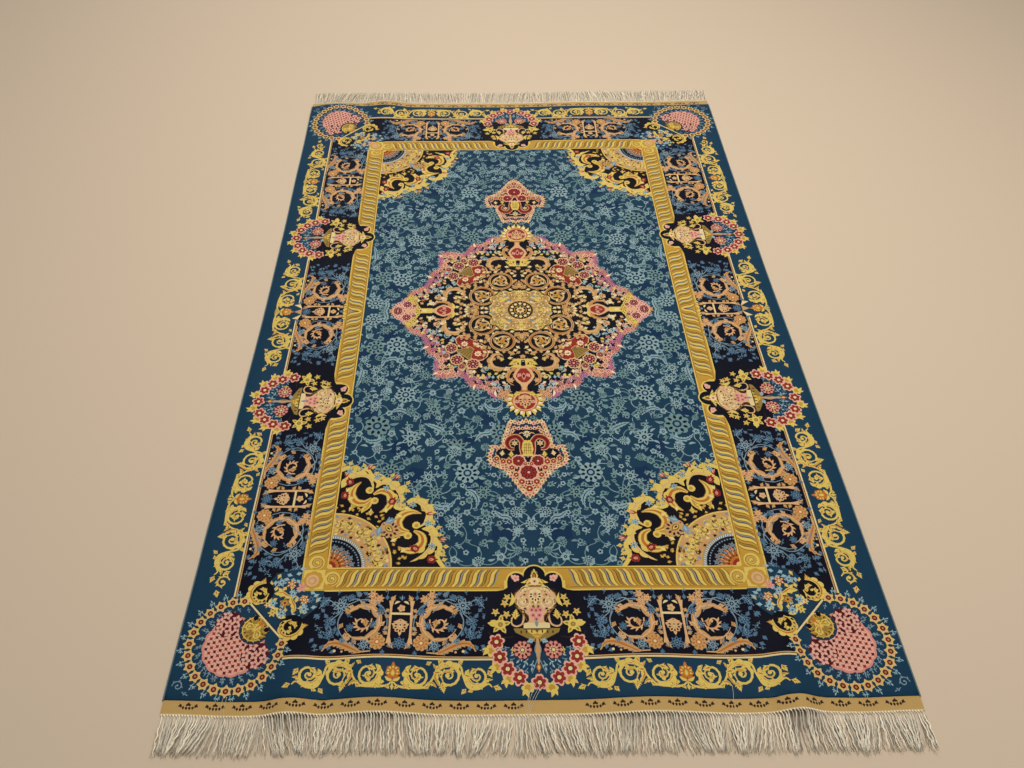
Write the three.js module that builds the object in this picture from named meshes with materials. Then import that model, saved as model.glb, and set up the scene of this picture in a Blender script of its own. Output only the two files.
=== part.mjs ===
// A silk rug lying on the floor.
// It is one knotted cloth with a flat-woven band at each end, and its warp ends hang out as two fringes.
// Millimetres, +Z up. The rug's length runs along Y, its near end is at -Y, and the floor is z = 0.
import * as THREE from "three";

// Driving dimensions
const PILE_WIDTH = 1350;
const PILE_LENGTH = 2000;
const PILE_THICK = 3;
const BAND_WIDTH = 26;
const BAND_THICK = 1.4;
const FRINGE_LENGTH = 75;
const SELVEDGE_WIDTH = 3;
const SELVEDGE_THICK = 2;
const SHORN_BEVEL = 1.6; // the pile's shorn edge slopes down to the band over this width
const GAP = 0.45; // between the cloth and the fringe combs, about 0.3 where they curve together

const HALF_WIDTH = PILE_WIDTH / 2;
const HALF_LENGTH = PILE_LENGTH / 2;
const REACH = HALF_LENGTH + BAND_WIDTH + FRINGE_LENGTH; // how far the longest fringe ends reach

// Each side is drawn in a little between the corners, unevenly
const SIDE_DRAW_IN = {
  left: [
    { y: -1000, inset: 0 },
    { y: -700, inset: 4 },
    { y: -400, inset: 9 },
    { y: 0, inset: 13 },
    { y: 300, inset: 12 },
    { y: 650, inset: 8 },
    { y: 1000, inset: 5 },
  ],
  right: [
    { y: -1000, inset: 0 },
    { y: -650, inset: 1 },
    { y: -250, inset: 4 },
    { y: 150, inset: 7 },
    { y: 500, inset: 6 },
    { y: 1000, inset: 3 },
  ],
};

// Each end edge runs a little out or in from its straight line
const END_WANDER = {
  near: [
    { x: -675, out: -3 },
    { x: -540, out: 1 },
    { x: -440, out: -1 },
    { x: -300, out: -3 },
    { x: -110, out: 1 },
    { x: 60, out: 0 },
    { x: 210, out: -2 },
    { x: 360, out: 0 },
    { x: 455, out: -3 },
    { x: 560, out: -1 },
    { x: 675, out: -4 },
  ],
  far: [
    { x: -675, out: -1 },
    { x: -540, out: 0 },
    { x: -350, out: -3 },
    { x: -180, out: -8 },
    { x: 0, out: -10 },
    { x: 250, out: -4 },
    { x: 480, out: -7 },
    { x: 675, out: -3 },
  ],
};

// Ripples that start at an end edge and die away into the rug
// lift: height of the crest, half: half its width, run: how far it goes in from the edge,
// crest: the crest's distance from the edge, brink: the share of the lift that is left at the edge itself
const RIPPLES = [
  { end: "near", x: -446, lift: 16, half: 62, run: 240, crest: 0, brink: 1 },
  { end: "near", x: -292, lift: 12, half: 110, run: 320, crest: 0, brink: 1 },
  { end: "near", x: 196, lift: 10, half: 150, run: 280, crest: 0, brink: 1 },
  { end: "near", x: 455, lift: 18, half: 54, run: 260, crest: 0, brink: 1 },
  { end: "far", x: -590, lift: 14, half: 130, run: 220, crest: 30, brink: 0.25 },
  { end: "far", x: -425, lift: 11, half: 100, run: 200, crest: 0, brink: 1 },
];

// Cloth rows, as distances in from the outer edge of an end band
const END_ROWS = [
  0,
  BAND_WIDTH - SHORN_BEVEL,
  BAND_WIDTH,
  52,
  78,
  118,
  168,
  228,
  290,
  350,
];
const MIDDLE_ROWS = 5;

// Cloth columns
const COLUMN_PITCH = 75;
const COLUMN_CLEAR = 16; // a plain column nearer than this to a ripple's own column is left out
const RIPPLE_STEPS = [-1, -0.67, -0.36, 0, 0.36, 0.67, 1];

// Fringe combs
const TEETH = 45;
const SPINE_DEPTH = 4;
const TOOTH_ROOT = 0.82; // of the pitch
const TOOTH_TIP = 0.6;
const TOOTH_LEAN = 4;
const TOOTH_SHORTFALL = 12; // how much shorter than the longest a tooth may be
const FULL_TOOTH = { every: 9, first: 4 }; // these teeth have the full length
const TOOTH_ROWS = [0.22, 0.55, 1]; // of a tooth's length
const STRAND_THICK = 1.2;
const STRAND_THICK_TIP = 0.85;
const STRAND_FALL = 34; // the strands come down to the floor within this distance of the edge

const SMALL = 1e-6;
const SHUFFLE = { index: 12.9898, salt: 78.233, spread: 43758.5453 }; // unrelated numbers, for unevenness
const SALTS = { near: { lean: 1, length: 4 }, far: { lean: 2, length: 5 } };

function smooth(t) {
  const s = Math.min(1, Math.max(0, t));
  return s * s * (3 - 2 * s);
}

function straight(t) {
  return t;
}

function mix(a, b, t) {
  return a + (b - a) * t;
}

// The value of a short table at a place, with soft turns at its rows
function readTable(rows, place, value, at, ease = smooth) {
  if (at <= rows[0][place]) return rows[0][value];
  for (let i = 1; i < rows.length; i++) {
    const a = rows[i - 1];
    const b = rows[i];
    if (at <= b[place]) return mix(a[value], b[value], ease((at - a[place]) / (b[place] - a[place])));
  }
  return rows[rows.length - 1][value];
}

// A repeatable unevenness between -1 and 1
function uneven(index, salt) {
  const s = Math.sin(index * SHUFFLE.index + salt * SHUFFLE.salt) * SHUFFLE.spread;
  return 2 * (s - Math.floor(s)) - 1;
}

// Height of the cloth's underside over the floor at a place on the woven plan
function liftAt(x, y) {
  let lift = 0;
  for (const ripple of RIPPLES) {
    const across = (x - ripple.x) / ripple.half;
    if (Math.abs(across) >= 1) continue;
    const bell = Math.cos((across * Math.PI) / 2) ** 2;
    const outer = HALF_LENGTH + BAND_WIDTH;
    const inward = ripple.end === "near" ? y + outer : outer - y;
    const fade = 1 - smooth((inward - ripple.crest) / (ripple.run - ripple.crest));
    const climb = ripple.crest > 0 ? mix(ripple.brink, 1, smooth(inward / ripple.crest)) : 1;
    lift += ripple.lift * bell * fade * climb;
  }
  return lift;
}

// Where a place on the straight woven plan lies on the real, slightly drawn-in rug
function placeOnPlan(x, y) {
  const side = x < 0 ? "left" : "right";
  const inset = readTable(SIDE_DRAW_IN[side], "y", "inset", y);
  const end = y < 0 ? "near" : "far";
  const share = Math.min(1, Math.abs(y) / HALF_LENGTH) ** 4;
  const out = readTable(END_WANDER[end], "x", "out", x) * share;
  return { x: x * (1 - inset / HALF_WIDTH), y: y + Math.sign(y) * out };
}

// A closed thin solid over a grid of corners. Only the cells that keep() names are filled.
// corner(i, j) gives { x, y, low, high }.
function sheetGeometry(columns, rows, corner, keep) {
  const positions = [];
  const index = [];
  const numbers = new Map();
  const numberOf = (i, j, upper) => {
    const key = `${i},${j},${upper}`;
    if (!numbers.has(key)) {
      const c = corner(i, j);
      numbers.set(key, positions.length / 3);
      positions.push(c.x, c.y, upper ? c.high : c.low);
    }
    return numbers.get(key);
  };
  const quad = (a, b, c, d) => index.push(a, b, c, a, c, d);
  const filled = (i, j) => i >= 0 && j >= 0 && i < columns - 1 && j < rows - 1 && keep(i, j);
  for (let i = 0; i < columns - 1; i++) {
    for (let j = 0; j < rows - 1; j++) {
      if (!filled(i, j)) continue;
      const around = [[i, j], [i + 1, j], [i + 1, j + 1], [i, j + 1]];
      const low = around.map(([a, b]) => numberOf(a, b, false));
      const high = around.map(([a, b]) => numberOf(a, b, true));
      quad(high[0], high[1], high[2], high[3]);
      quad(low[3], low[2], low[1], low[0]);
      const neighbours = [[i, j - 1], [i + 1, j], [i, j + 1], [i - 1, j]];
      neighbours.forEach(([a, b], k) => {
        if (filled(a, b)) return;
        const n = (k + 1) % 4;
        quad(low[k], low[n], high[n], high[k]);
      });
    }
  }
  const geometry = new THREE.BufferGeometry();
  geometry.setAttribute("position", new THREE.Float32BufferAttribute(positions, 3));
  geometry.setIndex(index);
  geometry.computeVertexNormals();
  return geometry;
}

function clothColumns() {
  const columns = [-HALF_WIDTH, -HALF_WIDTH + SELVEDGE_WIDTH, HALF_WIDTH - SELVEDGE_WIDTH, HALF_WIDTH];
  for (const ripple of RIPPLES) {
    for (const step of RIPPLE_STEPS) {
      const x = ripple.x + step * ripple.half;
      if (Math.abs(x) < HALF_WIDTH - COLUMN_CLEAR) columns.push(x);
    }
  }
  const clear = (x) => columns.every((other) => Math.abs(other - x) >= COLUMN_CLEAR);
  for (let x = 0; x < HALF_WIDTH; x += COLUMN_PITCH) {
    for (const side of [-x, x]) {
      if (clear(side)) columns.push(side);
    }
  }
  return columns.sort((a, b) => a - b).filter((x, i, all) => i === 0 || x - all[i - 1] > SMALL);
}

// Straight runs of an end band's outer edge between the cloth's columns
function endEdgeLine(end) {
  const y = (HALF_LENGTH + BAND_WIDTH) * (end === "near" ? -1 : 1);
  return clothColumns().map((x) => ({ x, edge: placeOnPlan(x, y).y }));
}

function clothRows() {
  const outer = HALF_LENGTH + BAND_WIDTH;
  const near = END_ROWS.map((inward) => inward - outer);
  const far = END_ROWS.map((inward) => outer - inward).reverse();
  const from = near[near.length - 1];
  const middle = [];
  for (let k = 1; k < MIDDLE_ROWS; k++) middle.push(mix(from, -from, k / MIDDLE_ROWS));
  return [...near, ...middle, ...far];
}

function clothThickness(x, y) {
  if (Math.abs(y) > HALF_LENGTH + SMALL) return BAND_THICK;
  return Math.abs(x) > HALF_WIDTH - SMALL ? SELVEDGE_THICK : PILE_THICK;
}

function rugBody() {
  const columns = clothColumns();
  const rows = clothRows();
  const corner = (i, j) => {
    const place = placeOnPlan(columns[i], rows[j]);
    const low = liftAt(columns[i], rows[j]);
    return { ...place, low, high: low + clothThickness(columns[i], rows[j]) };
  };
  return sheetGeometry(columns.length, rows.length, corner, () => true);
}

// One fringe: a narrow spine along the band's edge, with a tooth for each lock of strands
function fringeComb(end) {
  const sign = end === "near" ? -1 : 1;
  const salt = SALTS[end];
  const pitch = PILE_WIDTH / TEETH;
  const bandEdge = HALF_LENGTH + BAND_WIDTH;
  const edgeLine = endEdgeLine(end);
  const sharesAcross = [0, SPINE_DEPTH / FRINGE_LENGTH, ...TOOTH_ROWS];
  const columns = 2 * TEETH;
  const corner = (i, j) => {
    const tooth = Math.floor(i / 2);
    const hand = i % 2 === 0 ? -1 : 1;
    const share = sharesAcross[j];
    const width = pitch * mix(TOOTH_ROOT, TOOTH_TIP, share);
    const lean = TOOTH_LEAN * uneven(tooth, salt.lean) * share * share;
    const middle = -HALF_WIDTH + pitch * (tooth + 0.5);
    const outermost = (i === 0 || i === columns - 1) && j < 2;
    const woven = outermost ? hand * HALF_WIDTH : middle + (hand * width) / 2;
    const root = placeOnPlan(woven, sign * bandEdge);
    const isFull = tooth % FULL_TOOTH.every === FULL_TOOTH.first;
    const shortfall = isFull ? 0 : (TOOTH_SHORTFALL / 2) * (1 + uneven(tooth, salt.length));
    const edge = readTable(edgeLine, "x", "edge", woven, straight);
    const length = REACH - shortfall - GAP - Math.abs(edge);
    const fall = 1 - smooth((share * length) / STRAND_FALL);
    const low = liftAt(woven, sign * bandEdge) * fall;
    return {
      x: root.x + lean,
      y: edge + sign * (GAP + share * length),
      low,
      high: low + mix(STRAND_THICK, STRAND_THICK_TIP, share),
    };
  };
  const keep = (i, j) => j === 0 || i % 2 === 0;
  const mirrored = (i, j) => (sign < 0 ? corner(columns - 1 - i, j) : corner(i, j));
  const keepMirrored = (i, j) => keep(sign < 0 ? columns - 2 - i : i, j);
  return sheetGeometry(columns, sharesAcross.length, mirrored, keepMirrored);
}

function piece(name, geometry, material) {
  const mesh = new THREE.Mesh(geometry, material);
  mesh.name = name;
  return mesh;
}

const silkPile = new THREE.MeshStandardMaterial({ color: 0x2c5a72, roughness: 0.6, metalness: 0 });
const silkWarp = new THREE.MeshStandardMaterial({ color: 0xe3dac4, roughness: 0.65, metalness: 0 });

const rug = new THREE.Group();
rug.add(piece("rug_body", rugBody(), silkPile));
rug.add(piece("fringe_near", fringeComb("near"), silkWarp));
rug.add(piece("fringe_far", fringeComb("far"), silkWarp));

export default rug;
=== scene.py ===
# %% [markdown]
# # A silk rug on the floor
# A fine knotted rug of about 1.35 by 2 metres, lying flat with its near end towards the camera. It is a
# silk pile on silk warps, closed at both ends by a narrow flat-woven band, with the warp ends hanging out
# as a fringe, and bound along both sides by an overcast cord. The script goes through it in the order in
# which such a rug is made: the design on paper, the pile, the bands, the side cords, the fringe.

# %% Set-up and frame
import math
import random

import bpy
import numpy as np
from mathutils import Matrix, Vector
from mathutils.bvhtree import BVHTree
from mathutils.geometry import delaunay_2d_cdt


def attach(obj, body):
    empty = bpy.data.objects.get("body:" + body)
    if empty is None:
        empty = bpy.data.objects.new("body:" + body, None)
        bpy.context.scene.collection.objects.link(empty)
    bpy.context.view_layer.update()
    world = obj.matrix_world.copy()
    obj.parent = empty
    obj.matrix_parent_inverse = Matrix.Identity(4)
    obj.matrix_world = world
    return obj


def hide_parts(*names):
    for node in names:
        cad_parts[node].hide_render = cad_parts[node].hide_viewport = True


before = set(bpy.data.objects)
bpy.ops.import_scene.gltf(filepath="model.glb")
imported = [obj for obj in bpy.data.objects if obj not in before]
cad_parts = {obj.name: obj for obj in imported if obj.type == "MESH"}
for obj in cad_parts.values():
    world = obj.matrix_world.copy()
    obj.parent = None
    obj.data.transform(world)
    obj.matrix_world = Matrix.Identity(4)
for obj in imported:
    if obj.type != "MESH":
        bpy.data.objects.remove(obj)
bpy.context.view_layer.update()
scene = bpy.context.scene

# %% [markdown]
# ## Driving sizes
# All lengths are millimetres in the rug's own plan, with x across, y along, and the near end at negative y.
# They are the sizes of the CAD, so that the fine surface lies where the CAD surface lies.

# %% Sizes
HALF_W = 675
HALF_L = 1000
PILE_THICK = 3.0
BAND_WIDTH = 26
BAND_THICK = 1.4
FRINGE_LENGTH = 75
STRAND_FALL = 34
TO_METRES = 0.001

# %% [markdown]
# ## How the cloth lies
# A rug on a floor is never a perfect rectangle: the sides are drawn in a little, the ends wander by a few
# millimetres, and low ripples rise at the ends where the cloth is a bit too long for its place. A cloth
# simulation would do this by chance. Short tables give the same soft shapes and keep them equal to the CAD.

# %% Edge tables and ripples
SIDE_DRAW_IN = {  # along, inset
    -1: [(-1000, 0), (-700, 4), (-400, 9), (0, 13), (300, 12), (650, 8), (1000, 5)],
    1: [(-1000, 0), (-650, 1), (-250, 4), (150, 7), (500, 6), (1000, 3)],
}
END_WANDER = {  # across, outwards
    -1: [(-675, -3), (-540, 1), (-440, -1), (-300, -3), (-110, 1), (60, 0), (210, -2), (360, 0), (455, -3),
         (560, -1), (675, -4)],
    1: [(-675, -1), (-540, 0), (-350, -3), (-180, -8), (0, -10), (250, -4), (480, -7), (675, -3)],
}
# end, across, lift, half width, run into the rug, crest's distance from the edge, share of it at the edge
RIPPLES = [
    (-1, -446, 16, 62, 240, 0, 1),
    (-1, -292, 12, 110, 320, 0, 1),
    (-1, 196, 10, 150, 280, 0, 1),
    (-1, 455, 18, 54, 260, 0, 1),
    (1, -590, 14, 130, 220, 30, 0.25),
    (1, -425, 11, 100, 200, 0, 1),
]


def smooth(t):
    t = np.clip(t, 0, 1)
    return t * t * (3 - 2 * t)


def read_table(rows, at):
    """The value of a short table at each place, with soft turns at its rows."""
    places, values = np.array(rows, dtype=float).T
    at = np.clip(at, places[0], places[-1])
    k = np.clip(np.searchsorted(places, at, side="right") - 1, 0, len(places) - 2)
    t = (at - places[k]) / (places[k + 1] - places[k])
    return values[k] + (values[k + 1] - values[k]) * smooth(t)


def lift_at(x, y):
    """Height of the cloth's underside over the floor."""
    height = np.zeros(np.broadcast(x, y).shape)
    for end, middle, lift, half, run, crest, brink in RIPPLES:
        inward = HALF_L + BAND_WIDTH - y * end
        across = np.clip(np.abs(x - middle) / half, 0, 1)
        fade = 1 - smooth((inward - crest) / (run - crest))
        climb = brink + (1 - brink) * smooth(inward / crest) if crest else 1
        height += lift * np.cos(math.pi / 2 * across) ** 2 * fade * climb
    return height


def draw_in(x, y):
    """How far the nearer side is drawn in."""
    return np.where(x < 0, read_table(SIDE_DRAW_IN[-1], y), read_table(SIDE_DRAW_IN[1], y))


def laid(x, y, above):
    """Points of the woven plan, above the underside by some height, as metres on the floor."""
    x, y, above = np.broadcast_arrays(np.asarray(x, dtype=float), np.asarray(y, dtype=float), above)
    out = np.where(y < 0, read_table(END_WANDER[-1], x), read_table(END_WANDER[1], x))
    pull = np.minimum(1, np.abs(y) / HALF_L) ** 4
    points = [x * (1 - draw_in(x, y) / HALF_W), y + np.sign(y) * out * pull, lift_at(x, y) + above]
    return np.stack(points, axis=-1) * TO_METRES


print("height of the highest ripple", round(float(lift_at(455, -1026)), 1), "mm")

# %% [markdown]
# ## Camera
# The camera stands at the rug's near end at about head height and looks down at it, as in the photograph.
# Its place, tilt and focal length follow from where the four corners of the pile lie in the 1024 by 768
# picture. It is made first, so that every later piece can be looked at as soon as it is there.

# %% Camera
PICTURE_WIDTH = 1024
FOCAL_PIXELS = 814.6
CAMERA_PLACE = Vector((-0.0987, -1.5295, 1.4665))
CAMERA_DOWN = 48.94
CAMERA_YAW = -0.563
CAMERA_ROLL = -0.873
OFF_CENTRE = (34.5, 0.5)

pitch, yaw, roll = (math.radians(a) for a in (CAMERA_DOWN, CAMERA_YAW, CAMERA_ROLL))
forward = Vector((math.sin(yaw) * math.cos(pitch), math.cos(yaw) * math.cos(pitch), -math.sin(pitch)))
level = Vector((math.cos(yaw), -math.sin(yaw), 0))
upright = level.cross(forward)
rightward = level * math.cos(roll) + upright * math.sin(roll)
upward = upright * math.cos(roll) - level * math.sin(roll)
camera = bpy.data.objects.new("camera", bpy.data.cameras.new("camera"))
scene.collection.objects.link(camera)
turned = Matrix((rightward, upward, -forward)).transposed()
camera.matrix_world = Matrix.Translation(CAMERA_PLACE) @ turned.to_4x4()
camera.data.sensor_width = 36
camera.data.lens = FOCAL_PIXELS / PICTURE_WIDTH * camera.data.sensor_width
camera.data.shift_x = OFF_CENTRE[0] / PICTURE_WIDTH
camera.data.shift_y = OFF_CENTRE[1] / PICTURE_WIDTH
scene.camera = camera
print("lens", round(camera.data.lens, 2), "mm, looking", round(CAMERA_DOWN), "degrees down")

# %% [markdown]
# ## A drawing kit for the design
# The weaver of such a rug works from a drawing of one quarter, and mirrors it twice. This script does the
# same. A place in the quarter is one complex number in millimetres: its real part runs from the rug's
# centre line towards the side, its imaginary part towards the end. Turning a shape is then a
# multiplication, and mirroring it is a conjugate. A motif is a list of (outline, dye) pairs, painted in
# order, so what comes later covers what came before. The motifs could be pictures on an image texture, but
# outlines stay sharp at any distance and end up as real coloured cells of the pile.

# %% Outlines
UP = 90.0


def polar(radius, degrees):
    return radius * np.exp(1j * np.radians(degrees))


def disc(radius, points=12):
    return polar(radius, np.linspace(0, 360, points, endpoint=False))


def lobed(radius, lobes, depth=0.18, per_lobe=4):
    """A round shape with rounded lobes and a cusp between each two."""
    degrees = np.arange(lobes * per_lobe) * 360 / (lobes * per_lobe)
    wave = np.abs(np.cos(np.radians(degrees * lobes / 2)))
    return polar(radius * (1 - depth + depth * wave), degrees)


def star(radius, points, depth=0.4):
    """A shape with pointed tips."""
    degrees = np.arange(points * 2) * 180 / points
    return polar(np.where(np.arange(points * 2) % 2 == 0, radius, radius * (1 - depth)), degrees)


def leaf(length, width, bow=0.0, points=4):
    """A leaf that stands on the origin and points up, bent sideways by bow."""
    t = np.arange(1, points + 1) / (points + 1)
    spine = 1j * length * t + bow * np.sin(math.pi * t)
    half = width / 2 * np.sin(math.pi * t**0.8)
    return np.concatenate([[0], spine + half, [1j * length], (spine - half)[::-1]])


def box_shape(low, high):
    return np.array([low, complex(high.real, low.imag), high, complex(low.real, high.imag)])


def profile(rows):
    """A shape that is the same on both sides of the upright axis, from (height, half width) rows."""
    right = [complex(half, height) for height, half in rows]
    left = [complex(-half, height) for height, half in reversed(rows)]
    return np.array(right + left)


# %% Paths
def curve(*places, steps=5):
    """A smooth path through given places."""
    p = np.array([places[0], *places, places[-1]], dtype=complex)
    t = np.arange(steps)[:, None] / steps
    spans = []
    for a, b, c, d in zip(p, p[1:], p[2:], p[3:]):
        span = 0.5 * (2 * b + (c - a) * t + (2 * a - 5 * b + 4 * c - d) * t**2
                      + (3 * b - a - 3 * c + d) * t**3)
        spans.append(span[:, 0])
    return np.concatenate(spans + [[places[-1]]])


def spiral(outer, inner, start, turns, steps_per_turn=14):
    """A path that winds round the origin from one radius to another."""
    t = np.linspace(0, 1, max(4, int(abs(turns) * steps_per_turn)))
    return polar(outer + (inner - outer) * t**0.85, start + 360 * turns * t)


# %% Painted shapes
def paint(shape, dye):
    return [(np.asarray(shape, dtype=complex), dye)]


def stroke(path, dye, *widths):
    """A line of changing width, as a row of four-sided cells."""
    path = np.asarray(path, dtype=complex)
    along = np.gradient(path)
    side = 1j * along / np.maximum(np.abs(along), 1e-9)
    stops = np.linspace(0, 1, len(widths)) if len(widths) > 1 else [0, 1]
    values = widths if len(widths) > 1 else widths * 2
    half = np.interp(np.linspace(0, 1, len(path)), stops, values) / 2
    left = path + side * half
    right = path - side * half
    cells = zip(left, left[1:], right, right[1:])
    return [(np.array([a, b, d, c]), dye) for a, b, c, d in cells]


def moved(motif, at=0, turn=0.0, size=1.0, flip=False):
    """The motif mirrored left to right if asked, then scaled, turned and put in its place."""
    turning = size * np.exp(1j * math.radians(turn))
    return [((-np.conj(s) if flip else s) * turning + at, dye) for s, dye in motif]


def swapped(motif):
    """Exchanges across and along, which carries a short side's border to the long side."""
    return [(1j * np.conj(s), dye) for s, dye in motif]


def both(motif):
    """The motif and its mirror image across the upright axis."""
    return motif + moved(motif, flip=True)


def pair(motif, at=0, turn=0.0, size=1.0):
    """A motif in its place, and its mirror image across the upright axis."""
    return both(moved(motif, at, turn, size))


def each(motif, *stands):
    """Copies of a motif, one at every stand: a place, or a place and a turn."""
    copies = []
    for stand in stands:
        copies += moved(motif, *(stand if isinstance(stand, tuple) else (stand,)))
    return copies


def around(motif, degrees, radius=0.0, centre=0):
    """Copies of an upward motif set on a circle, each pointing outwards at one of the angles."""
    copies = []
    for angle in degrees:
        copies += moved(motif, centre + polar(radius, angle), angle - UP)
    return copies


def even(count, first=0.0):
    return [first + 360 * k / count for k in range(count)]


# %% The design itself
design = []  # all painted shapes of the quarter


def put(motif, at=0, turn=0.0, size=1.0, flip=False):
    """Paints a motif on the design."""
    design.extend(moved(motif, at, turn, size, flip))


# %% Filling a shape
def scattered(shape, step, seed, inside=lambda place: True):
    """Places on a loose triangular net within a shape, the same ones on every run."""
    picker = random.Random(seed)
    low = complex(shape.real.min(), shape.imag.min())
    high = complex(shape.real.max(), shape.imag.max())
    places = []
    row = 0
    v = low.imag
    while v < high.imag:
        u = low.real + (row % 2) * step / 2
        while u < high.real:
            place = complex(u + picker.uniform(-0.2, 0.2) * step, v + picker.uniform(-0.2, 0.2) * step)
            if within(place, shape) and inside(place):
                places.append((place, picker.uniform(0, 360)))
            u += step
        v += step * 0.87
        row += 1
    return places


def within(place, shape):
    ahead = np.roll(shape, -1)
    spans = (shape.imag > place.imag) != (ahead.imag > place.imag)
    rise = np.where(ahead.imag == shape.imag, 1, ahead.imag - shape.imag)
    cross = shape.real + (place.imag - shape.imag) * (ahead.real - shape.real) / rise
    return bool(np.count_nonzero(spans & (place.real < cross)) % 2)


print("drawing kit ready")
# %% [markdown]
# ## Dyes
# Silk takes dye evenly, so a rug is knotted from a few dozen fixed colours. They are matched here under
# daylight and given as they look on a screen; a helper turns them into the linear values that Blender
# calculates with.

# %% The dye table
DYES = {
    "strip": (20, 56, 78),
    "teal": (22, 56, 78),
    "shade": (12, 44, 74),
    "navy": (6, 6, 24),
    "black": (12, 6, 16),
    "vine": (136, 162, 164),
    "moss": (108, 138, 138),
    "mist": (124, 146, 156),
    "sky": (82, 114, 138),
    "ice": (152, 180, 184),
    "lemon": (220, 190, 94),
    "gold": (192, 146, 54),
    "amber": (186, 110, 42),
    "ochre": (130, 90, 34),
    "cream": (228, 203, 144),
    "ivory": (234, 216, 178),
    "tan": (198, 152, 96),
    "peach": (217, 171, 120),
    "pink": (212, 138, 120),
    "rose": (226, 168, 146),
    "brick": (147, 43, 31),
    "wine": (84, 17, 24),
    "magenta": (139, 39, 72),
    "lilac": (183, 118, 148),
    "olive": (148, 120, 56),
    "bark": (50, 25, 15),
    "band": (206, 166, 98),
}
DYE_NAMES = list(DYES)


def linear(colour):
    """Screen values from 0 to 255, as linear light from 0 to 1."""
    c = np.array(colour) / 255
    return np.where(c <= 0.04045, c / 12.92, ((c + 0.055) / 1.055) ** 2.4)


print(len(DYES), "dyes")
# %% [markdown]
# ## Flowers, leaves and scrolls
# Persian city rugs repeat a small stock of motifs: round blossoms seen from above, palmettes seen from the
# side, saw-edged leaves, split leaves and scrolls. Each is a function here, with its size and dyes as
# inputs, so one function serves the quiet field and the bright medallion alike.

# %% Blossoms seen from above
def blossom(radius, petals=9, petal="vine", spot="navy", heart="teal", eye="vine"):
    motif = paint(lobed(radius, petals), petal)
    mark = leaf(radius * 0.42, radius * 0.25, points=2)
    motif += around(paint(mark, spot), even(petals, UP), radius * 0.44)
    motif += paint(disc(radius * 0.36, 8), heart)
    motif += paint(disc(radius * 0.2, 7), eye)
    return motif


def small_blossom(radius, petals=5, petal="vine", heart="navy", eye=None):
    motif = paint(lobed(radius, petals, 0.3), petal)
    motif += paint(disc(radius * 0.38, 7), heart)
    if eye:
        motif += paint(disc(radius * 0.18, 5), eye)
    return motif


def pointed_blossom(radius, petal, heart, eye, rim=None, petals=6):
    motif = paint(star(radius, petals, 0.34), rim or petal)
    if rim:
        motif += paint(star(radius * 0.8, petals, 0.3), petal)
    motif += paint(disc(radius * 0.42, 9), heart)
    motif += paint(disc(radius * 0.2, 6), eye)
    return motif


def starry_blossom(radius, petals=8, petal="vine", spot="navy", eye="vine"):
    """Separate petals with dark gaps between them."""
    motif = paint(disc(radius * 0.55, 10), petal)
    motif += around(paint(leaf(radius * 0.75, radius * 0.46), petal), even(petals, UP), radius * 0.28)
    mark = paint(leaf(radius * 0.4, radius * 0.22, points=2), spot)
    motif += around(mark, even(petals, UP), radius * 0.42)
    motif += paint(disc(radius * 0.26, 7), spot)
    motif += paint(disc(radius * 0.12, 5), eye)
    return motif


# %% Flowers seen from the side
def palmette(size, petal="vine", spot="navy", heart="teal", flame="vine", lobes=11):
    middle = 0.52j * size
    motif = pair(paint(leaf(size * 0.5, size * 0.2, 0.1 * size), petal), turn=66)
    motif += moved(paint(lobed(size * 0.46, lobes, 0.2), petal), middle, UP)
    motif += paint(leaf(size * 0.36, size * 0.22) + 0.8j * size, petal)
    wedges = [UP + a for a in (-112, -76, -38, 0, 38, 76, 112)]
    motif += around(paint(leaf(size * 0.2, size * 0.12, points=2), spot), wedges, size * 0.2, middle)
    motif += paint(leaf(size * 0.5, size * 0.3) + 0.22j * size, heart)
    motif += paint(leaf(size * 0.38, size * 0.19) + 0.26j * size, flame)
    motif += paint(leaf(size * 0.2, size * 0.1, points=2) + 0.32j * size, spot)
    return motif


def bud(size, petal="vine", heart="navy", tip="vine"):
    motif = pair(paint(leaf(size * 0.85, size * 0.34, 0.12 * size), petal), turn=24)
    motif += paint(leaf(size * 0.9, size * 0.4), heart)
    motif += paint(leaf(size * 0.7, size * 0.2) + 0.25j * size, tip)
    return motif


def sprig(size, stem="vine", leaves="vine", width=1.6):
    motif = stroke(curve(0, 0.35j * size + 0.08 * size, 0.7j * size), stem, width, width * 0.7)
    motif += moved(paint(leaf(size * 0.42, size * 0.17, points=3), leaves), 0.62j * size)
    motif += moved(paint(leaf(size * 0.36, size * 0.15, points=3), leaves), 0.36j * size, 52)
    motif += moved(paint(leaf(size * 0.36, size * 0.15, points=3), leaves), 0.3j * size, -52)
    return motif


# %% Leaves
def bent(length, bow, steps=9):
    """An upward path that bends sideways and comes back."""
    t = np.linspace(0, 1, steps)
    return 1j * length * t + bow * np.sin(math.pi * t)


def resampled(path, count):
    path = np.asarray(path, dtype=complex)
    steps = np.concatenate([[0], np.cumsum(np.abs(np.diff(path)))])
    at = np.linspace(0, steps[-1], count)
    return np.interp(at, steps, path.real) + 1j * np.interp(at, steps, path.imag)


def saw_leaf(path, width, dye="vine", rib="navy", teeth=7, vein=2.0):
    """A long bent leaf with saw teeth on both edges and a dark rib."""
    spine = resampled(path, 2 * teeth + 1)
    t = np.linspace(0, 1, len(spine))
    along = np.gradient(spine)
    across = 1j * along / np.abs(along)
    toothed = np.arange(len(t)) % 2 == 1
    reach = width / 2 * np.sin(math.pi * t**0.8) * np.where(toothed, 1, 0.6)
    swept = along * 0.7 * toothed
    outline = np.concatenate([spine + across * reach + swept, (spine - across * reach + swept)[-2:0:-1]])
    return paint(outline, dye) + stroke(spine[2:-2], rib, vein * 0.5, vein, vein * 0.4)


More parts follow.
